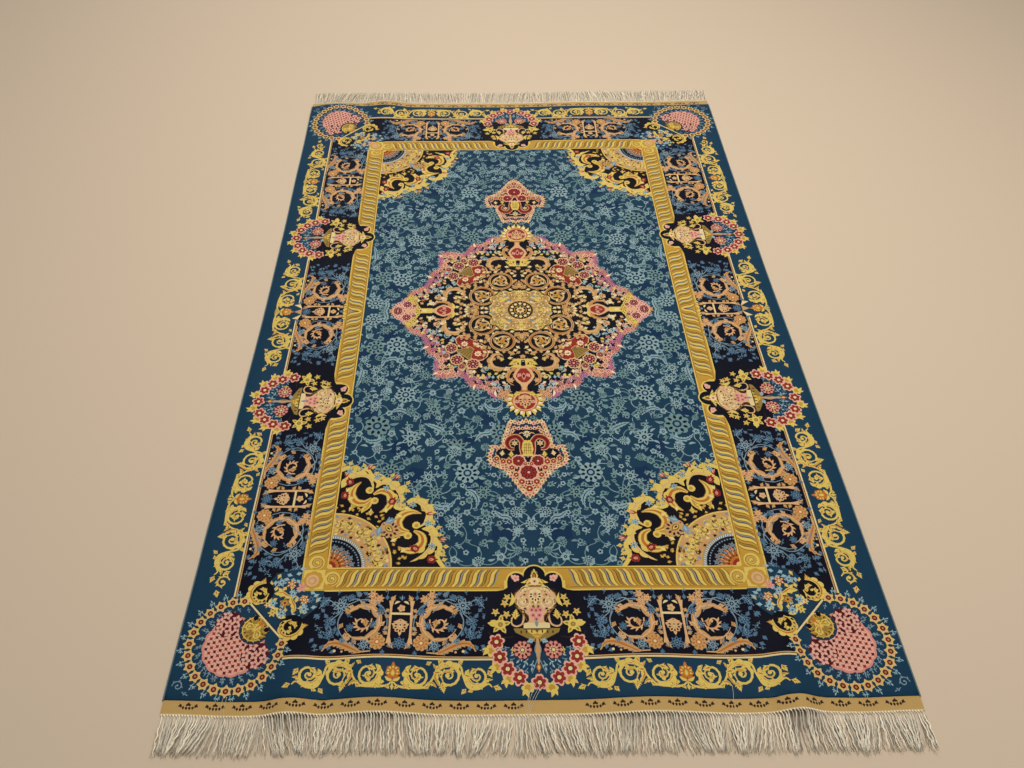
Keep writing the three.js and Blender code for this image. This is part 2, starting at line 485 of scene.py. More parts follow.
def split_leaf(size, dye, shade=None, lobes=3):
    """A leaf of pointed lobes, as at the forks of a scroll."""
    motif = paint(leaf(size, size * 0.34), dye)
    for k in range(lobes):
        lift = size * (0.12 + 0.2 * k)
        lobe = paint(leaf(size * (0.52 - 0.1 * k), size * 0.2, 0.07 * size, 3), dye)
        motif += pair(lobe, 1j * lift, 48 - 8 * k)
    if shade:
        motif += paint(leaf(size * 0.55, size * 0.14, points=3) + 0.12j * size, shade)
    return motif


# %% Scrolls
def volute(radius, turns=1.35, width=4.5, dye="lemon", shade=None, leaves=4, bulb=0.17, start=0.0):
    """A scroll that winds inwards to a bulb, with small leaves standing off its back."""
    path = spiral(radius, radius * 0.2, start, turns)
    motif = []
    for k in range(leaves):
        j = 1 + int(k * len(path) * 0.55 / max(leaves, 1))
        heading = math.degrees(np.angle(path[j] - path[j - 1]))
        outward = 24 if turns > 0 else -24
        lobe = paint(leaf(radius * 0.52, radius * 0.2, points=3), dye)
        motif += moved(lobe, path[j] * 0.96, heading - UP - outward)
    motif += stroke(path, dye, width * 0.7, width, width * 0.85, width * 0.5)
    if shade:
        motif += stroke(path[: len(path) * 2 // 3] * 0.93, shade, 0.4, width * 0.3, 0.4)
    motif += paint(disc(radius * bulb, 8) + path[-1] * 0.7, dye)
    return motif


def acanthus(path, width, dye="lemon", shade="amber", line="bark", lobes=5, hand=1):
    """A broad leaf along a path, with rounded lobes on its back and a shaded belly."""
    count = 4 * lobes + 1
    spine = resampled(path, count)
    along = np.gradient(spine)
    across = 1j * along / np.abs(along) * hand
    t = np.linspace(0, 1, count)
    swell = np.sin(math.pi * t**0.7)
    lobe = 0.5 + 0.5 * np.abs(np.sin(math.pi * lobes * t))
    back = spine + across * width * 0.62 * swell * lobe + along * 0.3
    belly = spine - across * width * 0.38 * swell
    motif = paint(np.concatenate([back[:-1], belly[:0:-1]]), dye)
    shadow = spine - across * width * 0.12 * swell
    motif += stroke(shadow[1:-1], shade, 0.4, width * 0.24, 0.4)
    for k in range(1, lobes):
        j = int(count * k / lobes)
        motif += stroke([spine[j], spine[j] + across[j] * width * 0.36 * swell[j]], line, 0.9, 0.5)
    return motif


print("motifs ready")
# %% [markdown]
# ## The guard border
# Outside the dark main border runs a light band of scrolling vines. Its unit starts at an amber palmette
# and winds away from it to both sides; three such units fill a quarter of the rug. The vine is a row of
# spirals that wind left and right in turn, with a split leaf at each fork.

# %% The plan's widths, in millimetres
FIELD = complex(412, 737)
ROPE = complex(461, 786)
MAIN = complex(583, 920)
GUARD = complex(645, 984)
ORIGIN = complex(-60, -60)  # grounds run a little past the centre lines, and the quarter is cut there

design += paint(box_shape(ORIGIN, complex(HALF_W, HALF_L)), "strip")
design += paint(box_shape(ORIGIN, GUARD), "teal")
design += paint(box_shape(ORIGIN, MAIN + 7 * (1+1j)), "cream")
design += paint(box_shape(ORIGIN, MAIN + 3.6 * (1+1j)), "bark")
design += paint(box_shape(ORIGIN, MAIN + 2.2 * (1+1j)), "tan")
design += paint(box_shape(ORIGIN, MAIN), "navy")
design += paint(box_shape(ORIGIN, ROPE + 3 * (1+1j)), "lemon")
design += paint(box_shape(ORIGIN, ROPE), "gold")

# %% One unit of the guard scroll
GUARD_T = complex(0, 957)  # the band's middle line on the short side
GUARD_SPIRALS = [  # distance from the palmette, across the band, radius, turns, first angle
    (45, 1.0, 22, -1.6, 215),
    (103, -1.0, 23, 1.6, 205),
    (156, 0.0, 20, -1.6, 200),
]


def guard_wing(length):
    """The vine from the palmette's foot outwards; length is how far its last leaf reaches."""
    stretch = length / 190
    wing = []
    rise = curve(2+16j, 10+23j, 30+25j, 58+22j, 72+8j, 84-16j, 104-24j, 124-20j, 131+2j, 140+20j, 158+23j,
                 176+14j, 184+20j)
    wing += stroke(rise * stretch, "lemon", 2.6, 4.4, 3.6, 4.6, 3.6, 4.2, 2.2)
    for along, turn in ((14, 60), (42, 130), (62, 75), (92, -110), (112, -70), (148, 65), (168, 120)):
        foot = complex(along * stretch, 16 if turn > 0 else -16)
        wing += moved(acanthus(bent(20, 5), 9, "lemon", "amber", "gold", 3), foot, -turn)
    for along, across, radius, turns, first in GUARD_SPIRALS:
        hand = -1 if turns > 0 else 1
        arc = spiral(radius, radius * 0.72, first, turns * 0.5)
        back = spiral(radius * 1.02, radius * 0.8, first + 25 * hand, turns * 0.4)
        ring = acanthus(back, 13, "lemon", "amber", "bark", 6, hand)
        ring += stroke(arc, "lemon", 3.6, 4.6, 4.2)
        ring += volute(radius * 0.62, turns * 0.72, 3.6, "lemon", "amber", 3, 0.3, first + turns * 180)
        ring += moved(split_leaf(radius * 0.9, "lemon", "amber"), arc[-1], first + turns * 90)
        wing += moved(ring, complex(along * stretch, across))
    cradle = acanthus(spiral(25, 23, 250, -0.42), 10, "lemon", "amber", "gold", 5, -1)
    wing += moved(cradle, 103 * stretch)
    forks = [  # along, across, turn, size
        (20, -8, -55, 16), (74, -6, -95, 21), (69, 17, 60, 15), (84, -20, -150, 17), (131, -3, -75, 20),
        (136, 22, 40, 14), (120, -22, -130, 14), (176, -12, -30, 17), (186, 18, -70, 17), (36, 25, 100, 12),
        (60, -20, -120, 13), (26, 21, 60, 11), (150, 24, 70, 12), (100, -24, 60, 12), (12, 20, 40, 12),
    ]
    for along, across, turn, size in forks:
        wing += moved(split_leaf(size, "lemon", "amber"), complex(along * stretch, across), turn)
    return wing


def guard_unit(length):
    unit = both(guard_wing(length))
    unit += stroke([14j, 26j], "lemon", 3, 2)
    unit += moved(split_leaf(12, "lemon"), 19j)
    unit += moved(palmette(30, "amber", "lemon", "gold", "lemon", 7), 12j, 180)
    unit += pair(paint(leaf(16, 6, 2), "lemon"), 13j, 118)
    return unit


put(guard_unit(186), 266 + GUARD_T)
for middle, length in ((573, 184), (0, 196)):
    put(swapped(guard_unit(length)), complex(620, middle))

# %% [markdown]
# ## The main border
# On a near-black ground stand a panel between two posts, a scrolled roundel on each side of it, rosettes,
# and long saw-edged leaves. The unit is drawn once, mirrored about its panel, and set three times.

# %% The panel and its posts
def panel():
    post = profile([(-44, 5), (-30, 2.2), (-8, 2.6), (8, 2.0), (30, 2.4), (44, 5.5)])
    motif = pair(paint(post, "bark"), 20, 0, 1.06) + pair(paint(post, "peach"), 20)
    for height, turn in ((-26, 60), (-8, 125), (10, 55), (26, 120)):
        motif += pair(split_leaf(13, "tan", None, 2), 22 + 1j * height, -turn)
    motif += pair(split_leaf(12, "peach", None, 2), 17+4j, 70)
    motif += pair(split_leaf(17, "tan", "peach", 2), 21-42j, 150)
    motif += pair(split_leaf(17, "tan", "peach", 2), 21+42j, 40)
    motif += paint(box_shape(-19-19j, 19-14.5j), "cream")
    motif += moved(palmette(30, "peach", "bark", "tan", "cream", 9), -6j)
    motif += moved(small_blossom(8, 5, "peach", "tan"), -28j)
    motif += moved(bud(17, "sky", "navy", "mist"), -40j, 180)
    motif += pair(paint(leaf(13, 4.5, 2), "cream"), 3-42j, -62)
    motif += moved(starry_blossom(13, 8, "sky", "navy", "ice"), 43j)
    motif += pair(sprig(15, "mist", "sky", 1.4), 9+47j, -80)
    return motif


def roundel():
    """A broad acanthus scroll inside a thin vine ring."""
    ring = spiral(38, 38, 20, 0.86, 18)
    motif = stroke(spiral(50, 46, 150, 0.62, 18), "mist", 1.6, 2.2, 1.4)
    motif += acanthus(ring[::-1] * 0.9, 15, "tan", "amber", "bark", 7, -1)
    motif += stroke(ring * 0.9, "peach", 1, 3, 4, 2)
    motif += volute(20, -0.95, 3.8, "peach", "amber", 7, 0.2, 200)
    motif += moved(split_leaf(20, "tan", "amber"), -6-8j, 10)
    for angle in range(0, 330, 33):
        leafy = split_leaf(15, ("tan", "peach")[angle % 2], "amber", 2)
        motif += moved(leafy, polar(36, angle), angle - 30)
    motif += moved(split_leaf(20, "tan", "amber"), -22+24j, 24)
    motif += moved(split_leaf(18, "tan", "amber"), 24-18j, -140)
    motif += moved(split_leaf(16, "peach", "tan"), 20+26j, -34)
    return motif


def wing_of_main(stretch):
    motif = []
    for place, turn in scattered(box_shape(24-60j, 168+58j), 14.5, 12):
        small = split_leaf(13, "sky", None, 2) if turn > 120 else sprig(12, "sky", "mist", 1.2)
        motif += moved(small, complex(place.real * stretch, place.imag), turn)
    motif += moved(paint(disc(44, 20), "navy") + roundel(), 74 * stretch)
    motif += moved(blossom(16, 9, "tan", "amber", "amber", "cream"), 41+41j)
    motif += each(starry_blossom(10, 7, "peach", "amber", "cream"), 44-48j, 58-57j, 56-42j)
    feather = curve(52+59j, 74+59j, 92+50j, 112+41j, 132+41j, 144+56j)
    motif += stroke(feather[:14], "peach", 2, 3.5, 4)
    motif += saw_leaf(feather[3:], 20, "tan", "amber", 10, 5)
    motif += paint(disc(3, 6) + 120+55j, "cream")
    motif += paint(disc(2.4, 6) + 106+57j, "peach")
    blooms = [  # place, radius, petal
        (118-36j, 16, "mist"), (40-22j, 9, "sky"), (66+46j, 12, "mist"), (136-4j, 12, "sky"),
        (134+22j, 12, "sky"), (96+10j, 9, "sky"), (52+6j, 8, "sky"), (98-52j, 8, "sky"),
        (150-44j, 11, "sky"), (108+36j, 7, "mist"), (30+62j, 5, "sky"), (84-58j, 6, "mist"),
    ]
    for place, radius, petal in blooms:
        place = complex(place.real * stretch, place.imag)
        motif += moved(starry_blossom(radius, 7, petal, "navy", "ice"), place, radius * 9)
    vines = [
        curve(112-22j, 120-4j, 116+16j, 98+40j, 80+50j), curve(118-20j, 128-12j, 136-4j),
        curve(136+6j, 132+12j, 134+24j), curve(60-20j, 84-48j, 104-44j),
        curve(130-40j, 142-48j, 150-44j, 160-30j), curve(52+8j, 44-6j, 40-20j),
    ]
    for vine in vines:
        motif += stroke(vine.real * stretch + 1j * vine.imag, "mist", 1.4, 1.9, 1.2)
    sprigs = [(148+8j, -60), (156-20j, -30), (126-58j, 170), (142+30j, -120), (106-18j, 60),
              (72-50j, 130), (28-58j, 200), (90+30j, 20)]
    for place, turn in sprigs:
        motif += moved(sprig(15, "sky", "sky", 1.3), complex(place.real * stretch, place.imag), turn)
    return motif


def main_unit(stretch):
    return panel() + both(wing_of_main(stretch))


# The long side's guard ends in a small scroll before the corner's roundel.
put(volute(15, 1.2, 4, "lemon", "amber", 6, 0.25, 200), 619+768j)
put(split_leaf(18, "lemon", "amber"), 628+784j, 20)

SHORT_MIDDLE = 855j
LONG_MIDDLE = 522
put(main_unit(1.0), 259 + SHORT_MIDDLE)
for along in (573, 0):
    put(swapped(main_unit(1.12)), complex(LONG_MIDDLE, along))
print(len(design), "shapes in the grounds and straight borders")
# %% [markdown]
# ## The field
# The middle of the rug is a quiet blue field, slightly uneven in tone, covered all over with pale
# grey-blue flowers on thin bowed vines. The flowers are set one by one, as on the weaver's drawing, each
# blossom is joined to its nearest neighbours by a vine, and small sprigs fill the gaps that are left.

# %% Field flowers
FIELD_LOW = complex(-40, -40)
design += paint(box_shape(FIELD_LOW, FIELD + 20 * (1+1j)), "teal")


def pale(kind, size, k):
    """One field flower; every second one takes the darker dye."""
    petal = ("vine", "moss")[k % 2]
    if kind == "round":
        return blossom(size, 9 + k % 3, petal, "navy", "shade", petal)
    if kind == "star":
        return starry_blossom(size, 7 + k % 2, petal, "navy", petal)
    if kind == "side":
        return moved(palmette(size * 1.15, petal, "navy", "shade", petal, 11), -0.55j * size)
    if kind == "bud":
        return bud(size * 1.4, petal, "shade", petal)
    return small_blossom(size, 5 + k % 2, petal, "navy", petal)


FIELD_FLOWERS = {"round": [(318, 120, 27), (130, 300, 25), (285, 285, 25), (345, 378, 31), (135, 510, 27),
                           (305, 505, 21), (158, 635, 15), (60, 400, 24), (30, 610, 14), (372, 130, 24),
                           (385, 30, 22)],
                 "star": [(265, 200, 19), (215, 330, 21), (362, 205, 17), (385, 235, 15), (350, 240, 19),
                          (240, 225, 16), (355, 318, 17), (270, 335, 14), (265, 415, 23), (160, 440, 26),
                          (220, 520, 18), (205, 560, 19), (165, 640, 15), (100, 560, 18), (395, 170, 14),
                          (350, 70, 16), (30, 655, 15)],
                 "side": [(332, 275, 25), (185, 290, 19), (325, 250, 18), (220, 310, 26), (180, 275, 16),
                          (390, 360, 15), (220, 425, 23), (115, 360, 21), (0, 640, 26), (60, 680, 21),
                          (165, 450, 28), (180, 490, 16), (112, 725, 22), (95, 440, 20), (340, 440, 24),
                          (250, 470, 20), (390, 90, 18), (30, 700, 16)],
                 "bud": [(225, 268, 13), (290, 360, 14), (385, 430, 14), (115, 690, 13), (165, 690, 13),
                         (135, 660, 12), (300, 435, 13), (75, 480, 12), (245, 370, 12), (370, 165, 12)],
                 "small": [(220, 280, 9), (330, 60, 11), (305, 175, 11), (378, 298, 9), (357, 288, 8),
                           (330, 295, 9), (388, 312, 9), (170, 360, 10), (150, 335, 10), (130, 395, 10),
                           (65, 715, 10), (95, 612, 10), (110, 475, 9), (165, 540, 10), (300, 150, 8),
                           (345, 170, 9), (280, 240, 9), (250, 300, 9), (310, 400, 10), (190, 400, 9),
                           (70, 445, 9), (240, 390, 9), (385, 400, 9), (270, 480, 10), (180, 600, 9),
                           (130, 580, 9), (60, 580, 9), (90, 650, 8), (135, 610, 8), (45, 735, 9),
                           (160, 720, 9), (360, 100, 9), (395, 60, 9), (365, 10, 10), (340, 150, 8),
                           (400, 270, 8), (320, 340, 9), (240, 545, 9), (280, 455, 8), (330, 480, 9),
                           (370, 470, 9), (90, 535, 8)],}
SAW_LEAVES = [
    [300+190j, 318+168j, 345+176j, 352+206j], [95+310j, 88+328j, 66+332j, 52+312j],
    [318+340j, 300+330j, 282+336j, 268+352j], [238+372j, 216+380j, 196+392j, 188+412j],
    [212+588j, 192+598j, 172+594j, 158+576j], [78+605j, 62+620j, 48+622j, 36+640j],
    [322+405j, 338+420j, 360+422j, 378+406j], [120+425j, 104+404j, 84+400j, 70+372j],
    [276+380j, 268+398j, 250+402j, 238+396j], [402+195j, 396+212j, 400+240j, 408+262j],
    [140+552j, 122+560j, 112+580j, 116+600j], [366+40j, 352+30j, 356+4j, 366-12j],
]

outlines = [(complex(u, v), size) for rows in FIELD_FLOWERS.values() for u, v, size in rows]
places = [place for place, size in outlines]
for k, place in enumerate(places):
    near = sorted(places, key=lambda other: abs(other - place))[1:3]
    for other in near:
        if abs(other - place) < 90:
            reach = other - place
            bow = 0.22 * (1 if k % 2 else -1)
            path = curve(place, place + reach * (0.33 + 1j * bow), place + reach * (0.67 + 1j * bow), other)
            design += stroke(path, "moss" if k % 3 else "vine", 1.4, 2.1, 1.4)

patches = random.Random(4)
for u, v in [(300, 240), (250, 180), (380, 330), (230, 350), (130, 420), (280, 440), (200, 620),
             (60, 660), (120, 540), (340, 80), (90, 360), (250, 520), (390, 150)]:
    patch = lobed(patches.uniform(16, 30), 7, 0.35, 3) * patches.uniform(0.8, 1.2)
    design += paint(patch * polar(1, patches.uniform(0, 90)) + complex(u, v), "shade")


def free(place):
    return all(abs(place - centre) > size + 6 for centre, size in outlines)


whole = box_shape(0j, FIELD)
for k, (place, turn) in enumerate(scattered(whole, 17, 8, free)):
    motif = sprig(19, "vine", "vine", 1.7) if k % 3 else split_leaf(15, "moss", "navy", 2)
    put(motif, place, turn)
for k, (place, turn) in enumerate(scattered(whole, 27, 21, free)):
    put(small_blossom(6.5, 5, ("moss", "vine")[k % 2], "navy"), place, turn)
for path in SAW_LEAVES:
    design += saw_leaf(curve(*path), 15, "vine", "shade", 8, 2.4)
for kind, rows in FIELD_FLOWERS.items():
    for k, (u, v, size) in enumerate(rows):
        if size > 14:
            twig = paint(leaf(size * 0.75, size * 0.26, size * 0.1, 3), ("vine", "moss")[k % 2])
            put(around(twig, (k * 40, k * 40 + 70, k * 40 + 150), size * 0.9), complex(u, v))
        put(pale(kind, size, k), complex(u, v), (u * 7 + v * 11) % 360)
print(len(design), "shapes with the field")
# %% [markdown]
# ## The corners of the field
# Each corner of the field holds a quarter of a fan, bright at its root, with a zone of fine gold scrolls, a
# dark zone, and an edge of great golden acanthus scrolls that reaches into the blue.

# %% Corner of the field
FAN = FIELD

spandrel_edge = curve(412+494j, 398+488j, 388+500j, 374+504j, 356+492j, 342+512j, 322+530j, 304+520j,
                      294+545j, 268+540j, 272+560j, 286+590j, 262+598j, 240+578j, 222+590j, 212+608j,
                      216+632j, 200+648j, 196+670j, 184+690j, 190+714j, 176+737j, steps=3)
outline = np.concatenate([spandrel_edge, [176+760j, 440+760j, 440+494j]])
design += paint(outline, "lemon")
inner = FAN + (outline - FAN) * 0.955
design += paint(inner, "black")

for k in range(1, len(spandrel_edge) - 1, 2):
    heading = math.degrees(np.angle(spandrel_edge[k + 1] - spandrel_edge[k - 1]))
    put(split_leaf(15, "lemon", "gold", 2), spandrel_edge[k], heading - UP + 78)
for place, start, turns in ((383+497j, 60, -1.3), (274+550j, 0, 1.3), (222+596j, 90, -1.3),
                            (190+706j, 180, 1.3), (330+522j, 200, 1.2), (205+655j, 40, 1.2)):
    put(volute(11, turns, 4, "lemon", "gold", 4, 0.3, start), place)


def great_scroll():
    """Two fat commas back to back, under two leafy arcs."""
    upper = curve(60-22j, 52-42j, 30-53j, 10-50j, -36j, -4-14j)
    outer = curve(-8-20j, -20-34j, -38-33j, -54-18j, -61+4j, -60+30j)
    motif = acanthus(upper, 16, "lemon", "peach", "ochre", 5)
    motif += acanthus(outer, 17, "lemon", "peach", "ochre", 6)
    motif += acanthus(curve(-1+3j, 4+18j, 14+36j), 20, "lemon", "gold", "ochre", 3, -1)
    motif += acanthus(curve(14+8j, 30+18j, 38+32j), 14, "lemon", "gold", "ochre", 3, -1)
    for side in (1, -1):
        comma = curve(21-36j, 34-22j, 37-4j, 27+11j, 10+13j, -3+2j)
        belly = resampled(comma, 18)
        if side < 0:
            belly = belly * polar(1, 168) * 0.98 + complex(-8, -4)
        motif += stroke(belly, "ochre", 3, 15, 19, 17, 6)
        motif += stroke(belly, "lemon", 1, 12, 16.5, 14.5, 4)
        motif += stroke(belly, "amber", 0.5, 3, 6, 5, 1)
        motif += paint(disc(8, 9) + complex(6 * side - 3, -12 * side - 4), "lemon")
        motif += paint(disc(4, 7) + complex(6 * side - 4, -12 * side - 4), "gold")
    motif += each(paint(leaf(22, 8, 3), "lemon"), (60-22j, 160), (-52+8j, 210))
    motif += each(split_leaf(17, "lemon", "ivory", 2), (50-12j, 140), (44+6j, 120), (-42+12j, 220),
                  (-34+36j, 190), (-4+42j, 180))
    return motif


put(great_scroll(), 343+571j, 0, 1.1)
put(great_scroll(), 254+652j, -60, 1.1)

design += each(palmette(20, "brick", "wine", "peach", "pink", 9), (388+540j, 200), (300+590j, 150),
               (232+700j, 240), (398+575j, 180), (215+720j, 90))
design += each(bud(20, "pink", "brick", "peach"), (355+500j, 150), (295+527j, 140), (222+614j, 100),
               (194+672j, 80), (402+520j, 170))
design += each(starry_blossom(9, 6, "ice", "navy", "cream"), 395+503j, 333+518j, 216+636j, 206+690j,
               250+590j, 310+548j)

dark_net = np.concatenate([FAN + polar(131, np.arange(180, 271, 9)),
                           FAN + polar(152, np.arange(270, 179, -9))])
for place, turn in scattered(dark_net, 13, 5):
    put(split_leaf(11, "gold", "lemon", 2), place, turn)

quarter = np.arange(170, 281, 5)


def wedge_of(radius):
    return FAN + np.concatenate([[20+20j], polar(radius, quarter)])


design += paint(wedge_of(129), "bark") + paint(wedge_of(127), "lemon") + paint(wedge_of(124), "tan")
lace = np.concatenate([FAN + polar(80, quarter), FAN + polar(122, quarter[::-1])])
for k, (place, turn) in enumerate(scattered(lace, 10, 11)):
    put(split_leaf(12, ("lemon", "bark", "ochre", "mist", "cream", "bark")[k % 6], None, 2), place, turn)
for angle in range(180, 271, 15):
    for hand in (1, -1):
        curl = volute(12, 1.25 * hand, 3, "lemon", "ochre", 4, 0.3, 90)
        put(curl, FAN + polar(101 + 3 * hand, angle + 3.6 * hand), angle - UP + 24 * hand)
    put(sprig(17, "ochre", "ochre", 1.4), FAN + polar(83, angle + 7.5), angle + 7.5 - UP)
grey_place = FAN + polar(150, 226)
put(palmette(46, "tan", "bark", "ochre", "lemon", 11), grey_place + 4+6j, 48)
put(pair(split_leaf(28, "mist", "ice", 2), 6+4j, -60), grey_place + 6+6j, 48)
design += paint(wedge_of(75), "gold") + paint(wedge_of(73), "mist")
for angle in range(176, 279, 4):
    design += stroke([FAN + polar(66.5, angle), FAN + polar(72, angle + 1)], "ivory", 1.5)
design += paint(wedge_of(66), "bark") + paint(wedge_of(64.5), "navy")
for angle in range(178, 276, 6):
    design += paint(disc(2, 5) + FAN + polar(60, angle), "mist")
design += paint(wedge_of(55), "black")
ray = paint(leaf(30, 9), "amber") + paint(leaf(22, 5) + 2j, "brick") + paint(leaf(11, 3) + 5j, "peach")
design += around(ray, range(180, 271, 18), 19, FAN)
for angle in range(171, 280, 18):
    put(starry_blossom(7.5, 5, "mist", "navy", "rose"), FAN + polar(46, angle), angle)
for angle in range(175, 280, 9):
    put(split_leaf(9, "mist" if angle % 2 else "tan", None, 2), FAN + polar(33, angle), angle - UP)
design += paint(wedge_of(21), "amber") + paint(wedge_of(15), "brick") + paint(wedge_of(8), "lemon")
print(len(design), "shapes with field corners")
# %% [markdown]
# ## The rope border
# Inside the dark border lies a golden band like a laid rope: slanted S-shaped strands in lemon, gold and
# olive, parted by thin dark lines and a blue-grey one in every turn. It ends at each corner in two spiral
# scrolls with a raised boss between them.

# %% Rope
ROPE_TURN = 34.6
ROPE_HALF = 18


def rope_strand(shift, dye, width):
    t = np.linspace(-1, 1, 8)
    path = shift + 2.5 * t + 7 * t**3 + 1j * ROPE_HALF * t
    return stroke(path, dye, width * 0.5, width, width, width * 0.5)


ROPE_STRANDS = [  # place in the turn, dye, width
    (0, "mist", 2.4), (2.2, "bark", 1.9), (7.6, "lemon", 6.5), (12.2, "ochre", 2.0), (16, "gold", 4.5),
    (19, "bark", 1.5), (22, "olive", 3.6), (24.6, "ochre", 1.8), (28.4, "lemon", 5.2),
    (32.3, "ochre", 1.8),
]
rope_turn = [cell for strand in ROPE_STRANDS for cell in rope_strand(*strand)]


def rope(first, last):
    """Whole turns between two places, with the dark lines that edge the band."""
    count = round((last - first) / ROPE_TURN)
    step = (last - first) / count
    band = []
    for k in range(count):
        band += moved(rope_turn, first + step * k)
    for across in (-20.5, 20):
        band += stroke([first - 30 + 1j * across, last + 8 + 1j * across], "ochre", 1.2)
    return band


for low, high in ((complex(-60, 737), complex(461, 786)), (complex(412, -60), complex(461, 786))):
    design += paint(box_shape(low, high), "gold")
design += stroke([-20+738.5j, 412+738.5j], "lemon", 2.4) + stroke([413.5+738j, 413.5-20j], "lemon", 2.4)
ROPE_SHORT = 761.5j
ROPE_LONG = 436.5
ARCH_HALF = 62
put(rope(ARCH_HALF + 14, 388), ROPE_SHORT)
for first, last in ((302 + ARCH_HALF, 706), (0, 302 - ARCH_HALF - 8)):
    put(swapped(rope(first, last)), ROPE_LONG)


def scroll_end(radius):
    motif = paint(disc(radius, 16), "gold") + paint(disc(radius - 2, 16), "lemon")
    motif += stroke(spiral(radius - 3, 2, 60, 2.2), "ochre", 1.4)
    motif += stroke(spiral(radius - 5, 4, 60, 1.2), "gold", 2.4)
    return motif


corner = moved(scroll_end(18), complex(436.5, 726)) + moved(scroll_end(18), complex(402, 761.5))
corner += paint(box_shape(-21-21j, 21+21j) + complex(438, 763), "lemon")
corner += paint(lobed(20, 8, 0.1) + complex(439, 764), "gold")
corner += paint(disc(13, 14) + complex(440, 765), "peach") + paint(disc(9, 12) + complex(440, 765), "tan")
corner += paint(disc(5, 8) + complex(441, 766), "peach")
for place in (414+786j, 461+740j, 461+786j):
    corner += moved(split_leaf(15, "lemon", "gold"), place, -45)
design += corner

# %% [markdown]
# ## The corner roundels
# In each corner of the borders a little pot holds a great round bouquet, ringed by nineteen small flowers.
# It is drawn upright about its own centre and then turned by 45 degrees to face the corner.

# %% Corner roundel
ROUNDEL = complex(566, 895)
RING = 87


def bouquet_ring():
    motif = []
    for angle in [UP + 15 * k for k in range(-9, 10)]:
        outer = moved(sprig(15, "ice", "ice", 1.3), polar(RING + 8, angle + 6), angle - UP + 14)
        inner = moved(sprig(13, "mist", "mist", 1.3), polar(RING - 11, angle - 7), angle + UP + 20)
        motif += outer + inner
        motif += moved(sprig(10, "ice", "ice", 1.2), polar(RING + 9, angle - 5), angle - UP - 20)
        flower = pointed_blossom(12.5, "peach", "wine", "amber", "lemon")
        motif += moved(flower, polar(RING, angle), angle)
    return motif


def bouquet():
    motif = []
    for angle in even(26, 4):
        if 225 < angle < 315:
            continue
        motif += moved(sprig(15, "ice", "mist", 1.4), 4j + polar(56, angle), angle - UP + 12)
    motif += paint(lobed(59, 15, 0.05) + 5j, "pink")
    motif += paint(lobed(54, 15, 0.05) + 6j, "rose")
    for row in range(-5, 6):
        for column in range(-5, 6):
            place = complex(column * 10.4 + 5.2 * (row % 2), 8 + row * 9.2)
            if abs(place - 6j) < 54:
                motif += moved(paint(star(4.6, 4, 0.5), "wine" if column % 2 else "brick"), place)
                motif += paint(disc(1.7, 4) + place + 4.6j, "pink")
    petals = (0, 15+9j, -14+10j, 3+18j, -3-16j, 17-8j, -18-7j)
    for side in (-1, 1):
        centre = complex(43 * side, -14)
        motif += paint(lobed(27, 9, 0.1) + centre, "wine")
        for petal in petals:
            bloom = around(paint(leaf(8.6, 6.4, points=3), "rose"), even(5, 18), 1.6)
            motif += moved(bloom + paint(disc(1.8, 5), "magenta"), centre + petal)
    return motif


def pot():
    motif = paint(disc(31, 18) - 44j, "teal")
    motif += paint(lobed(28, 12, 0.12) - 44j, "bark") + paint(lobed(26, 12, 0.12) - 44j, "olive")
    for angle in range(-60, 241, 25):
        motif += moved(paint(leaf(15, 6, 2), "gold"), polar(13, angle) - 44j, angle - UP)
        motif += moved(paint(leaf(9, 2.4, points=2), "bark"), polar(15, angle) - 44j, angle - UP)
    motif += stroke(spiral(24, 24, 200, 0.9) - 44j, "lemon", 1, 2.4, 1)
    motif += pair(volute(10, 1.3, 3, "lemon", None, 3, 0.3, 200), 11-38j)
    motif += pair(acanthus(bent(30, 9), 12, "gold", "lemon", "bark", 4), -6-62j, 18)
    motif += moved(split_leaf(24, "lemon", "amber"), -60j) + paint(disc(4.5, 8) - 58j, "amber")
    motif += both(paint(disc(5, 8) + 17-58j, "navy"))
    return motif


roundel_motif = bouquet() + pot() + bouquet_ring()
roundel_motif += stroke([-50-67j, 50-67j], "cream", 3.4) + stroke([-50-70j, 50-70j], "bark", 1.2)

wedge = np.array([545+800j, 512+748j, 462+738j, 462+787j, 413+787j, 424+824j, 474+872j, 540+872j])


def half_moon():
    """A dark disc in a lemon crescent, with a small volute inside and a leaf that runs off it."""
    motif = paint(disc(25, 20), "black")
    motif += acanthus(polar(22, np.arange(120, 371, 15)), 13, "lemon", "amber", "bark", 7, -1)
    motif += moved(volute(17, -0.8, 3.6, "lemon", "gold", 6, 0.16, 60), 2-4j)
    for angle, size in ((60, 15), (15, 13), (-150, 12), (105, 12)):
        motif += moved(split_leaf(size, "lemon", "amber", 2), polar(11, angle), angle + 40)
    motif += moved(split_leaf(13, "gold", "lemon", 2), -16+13j, 40)
    motif += acanthus(curve(17+18j, 26+32j, 40+38j, 52+52j), 11, "lemon", "amber", "gold", 4, -1)
    motif += acanthus(curve(22+8j, 33+2j, 46+5j, 52+12j), 10, "lemon", "cream", "gold", 3, 1)
    return motif


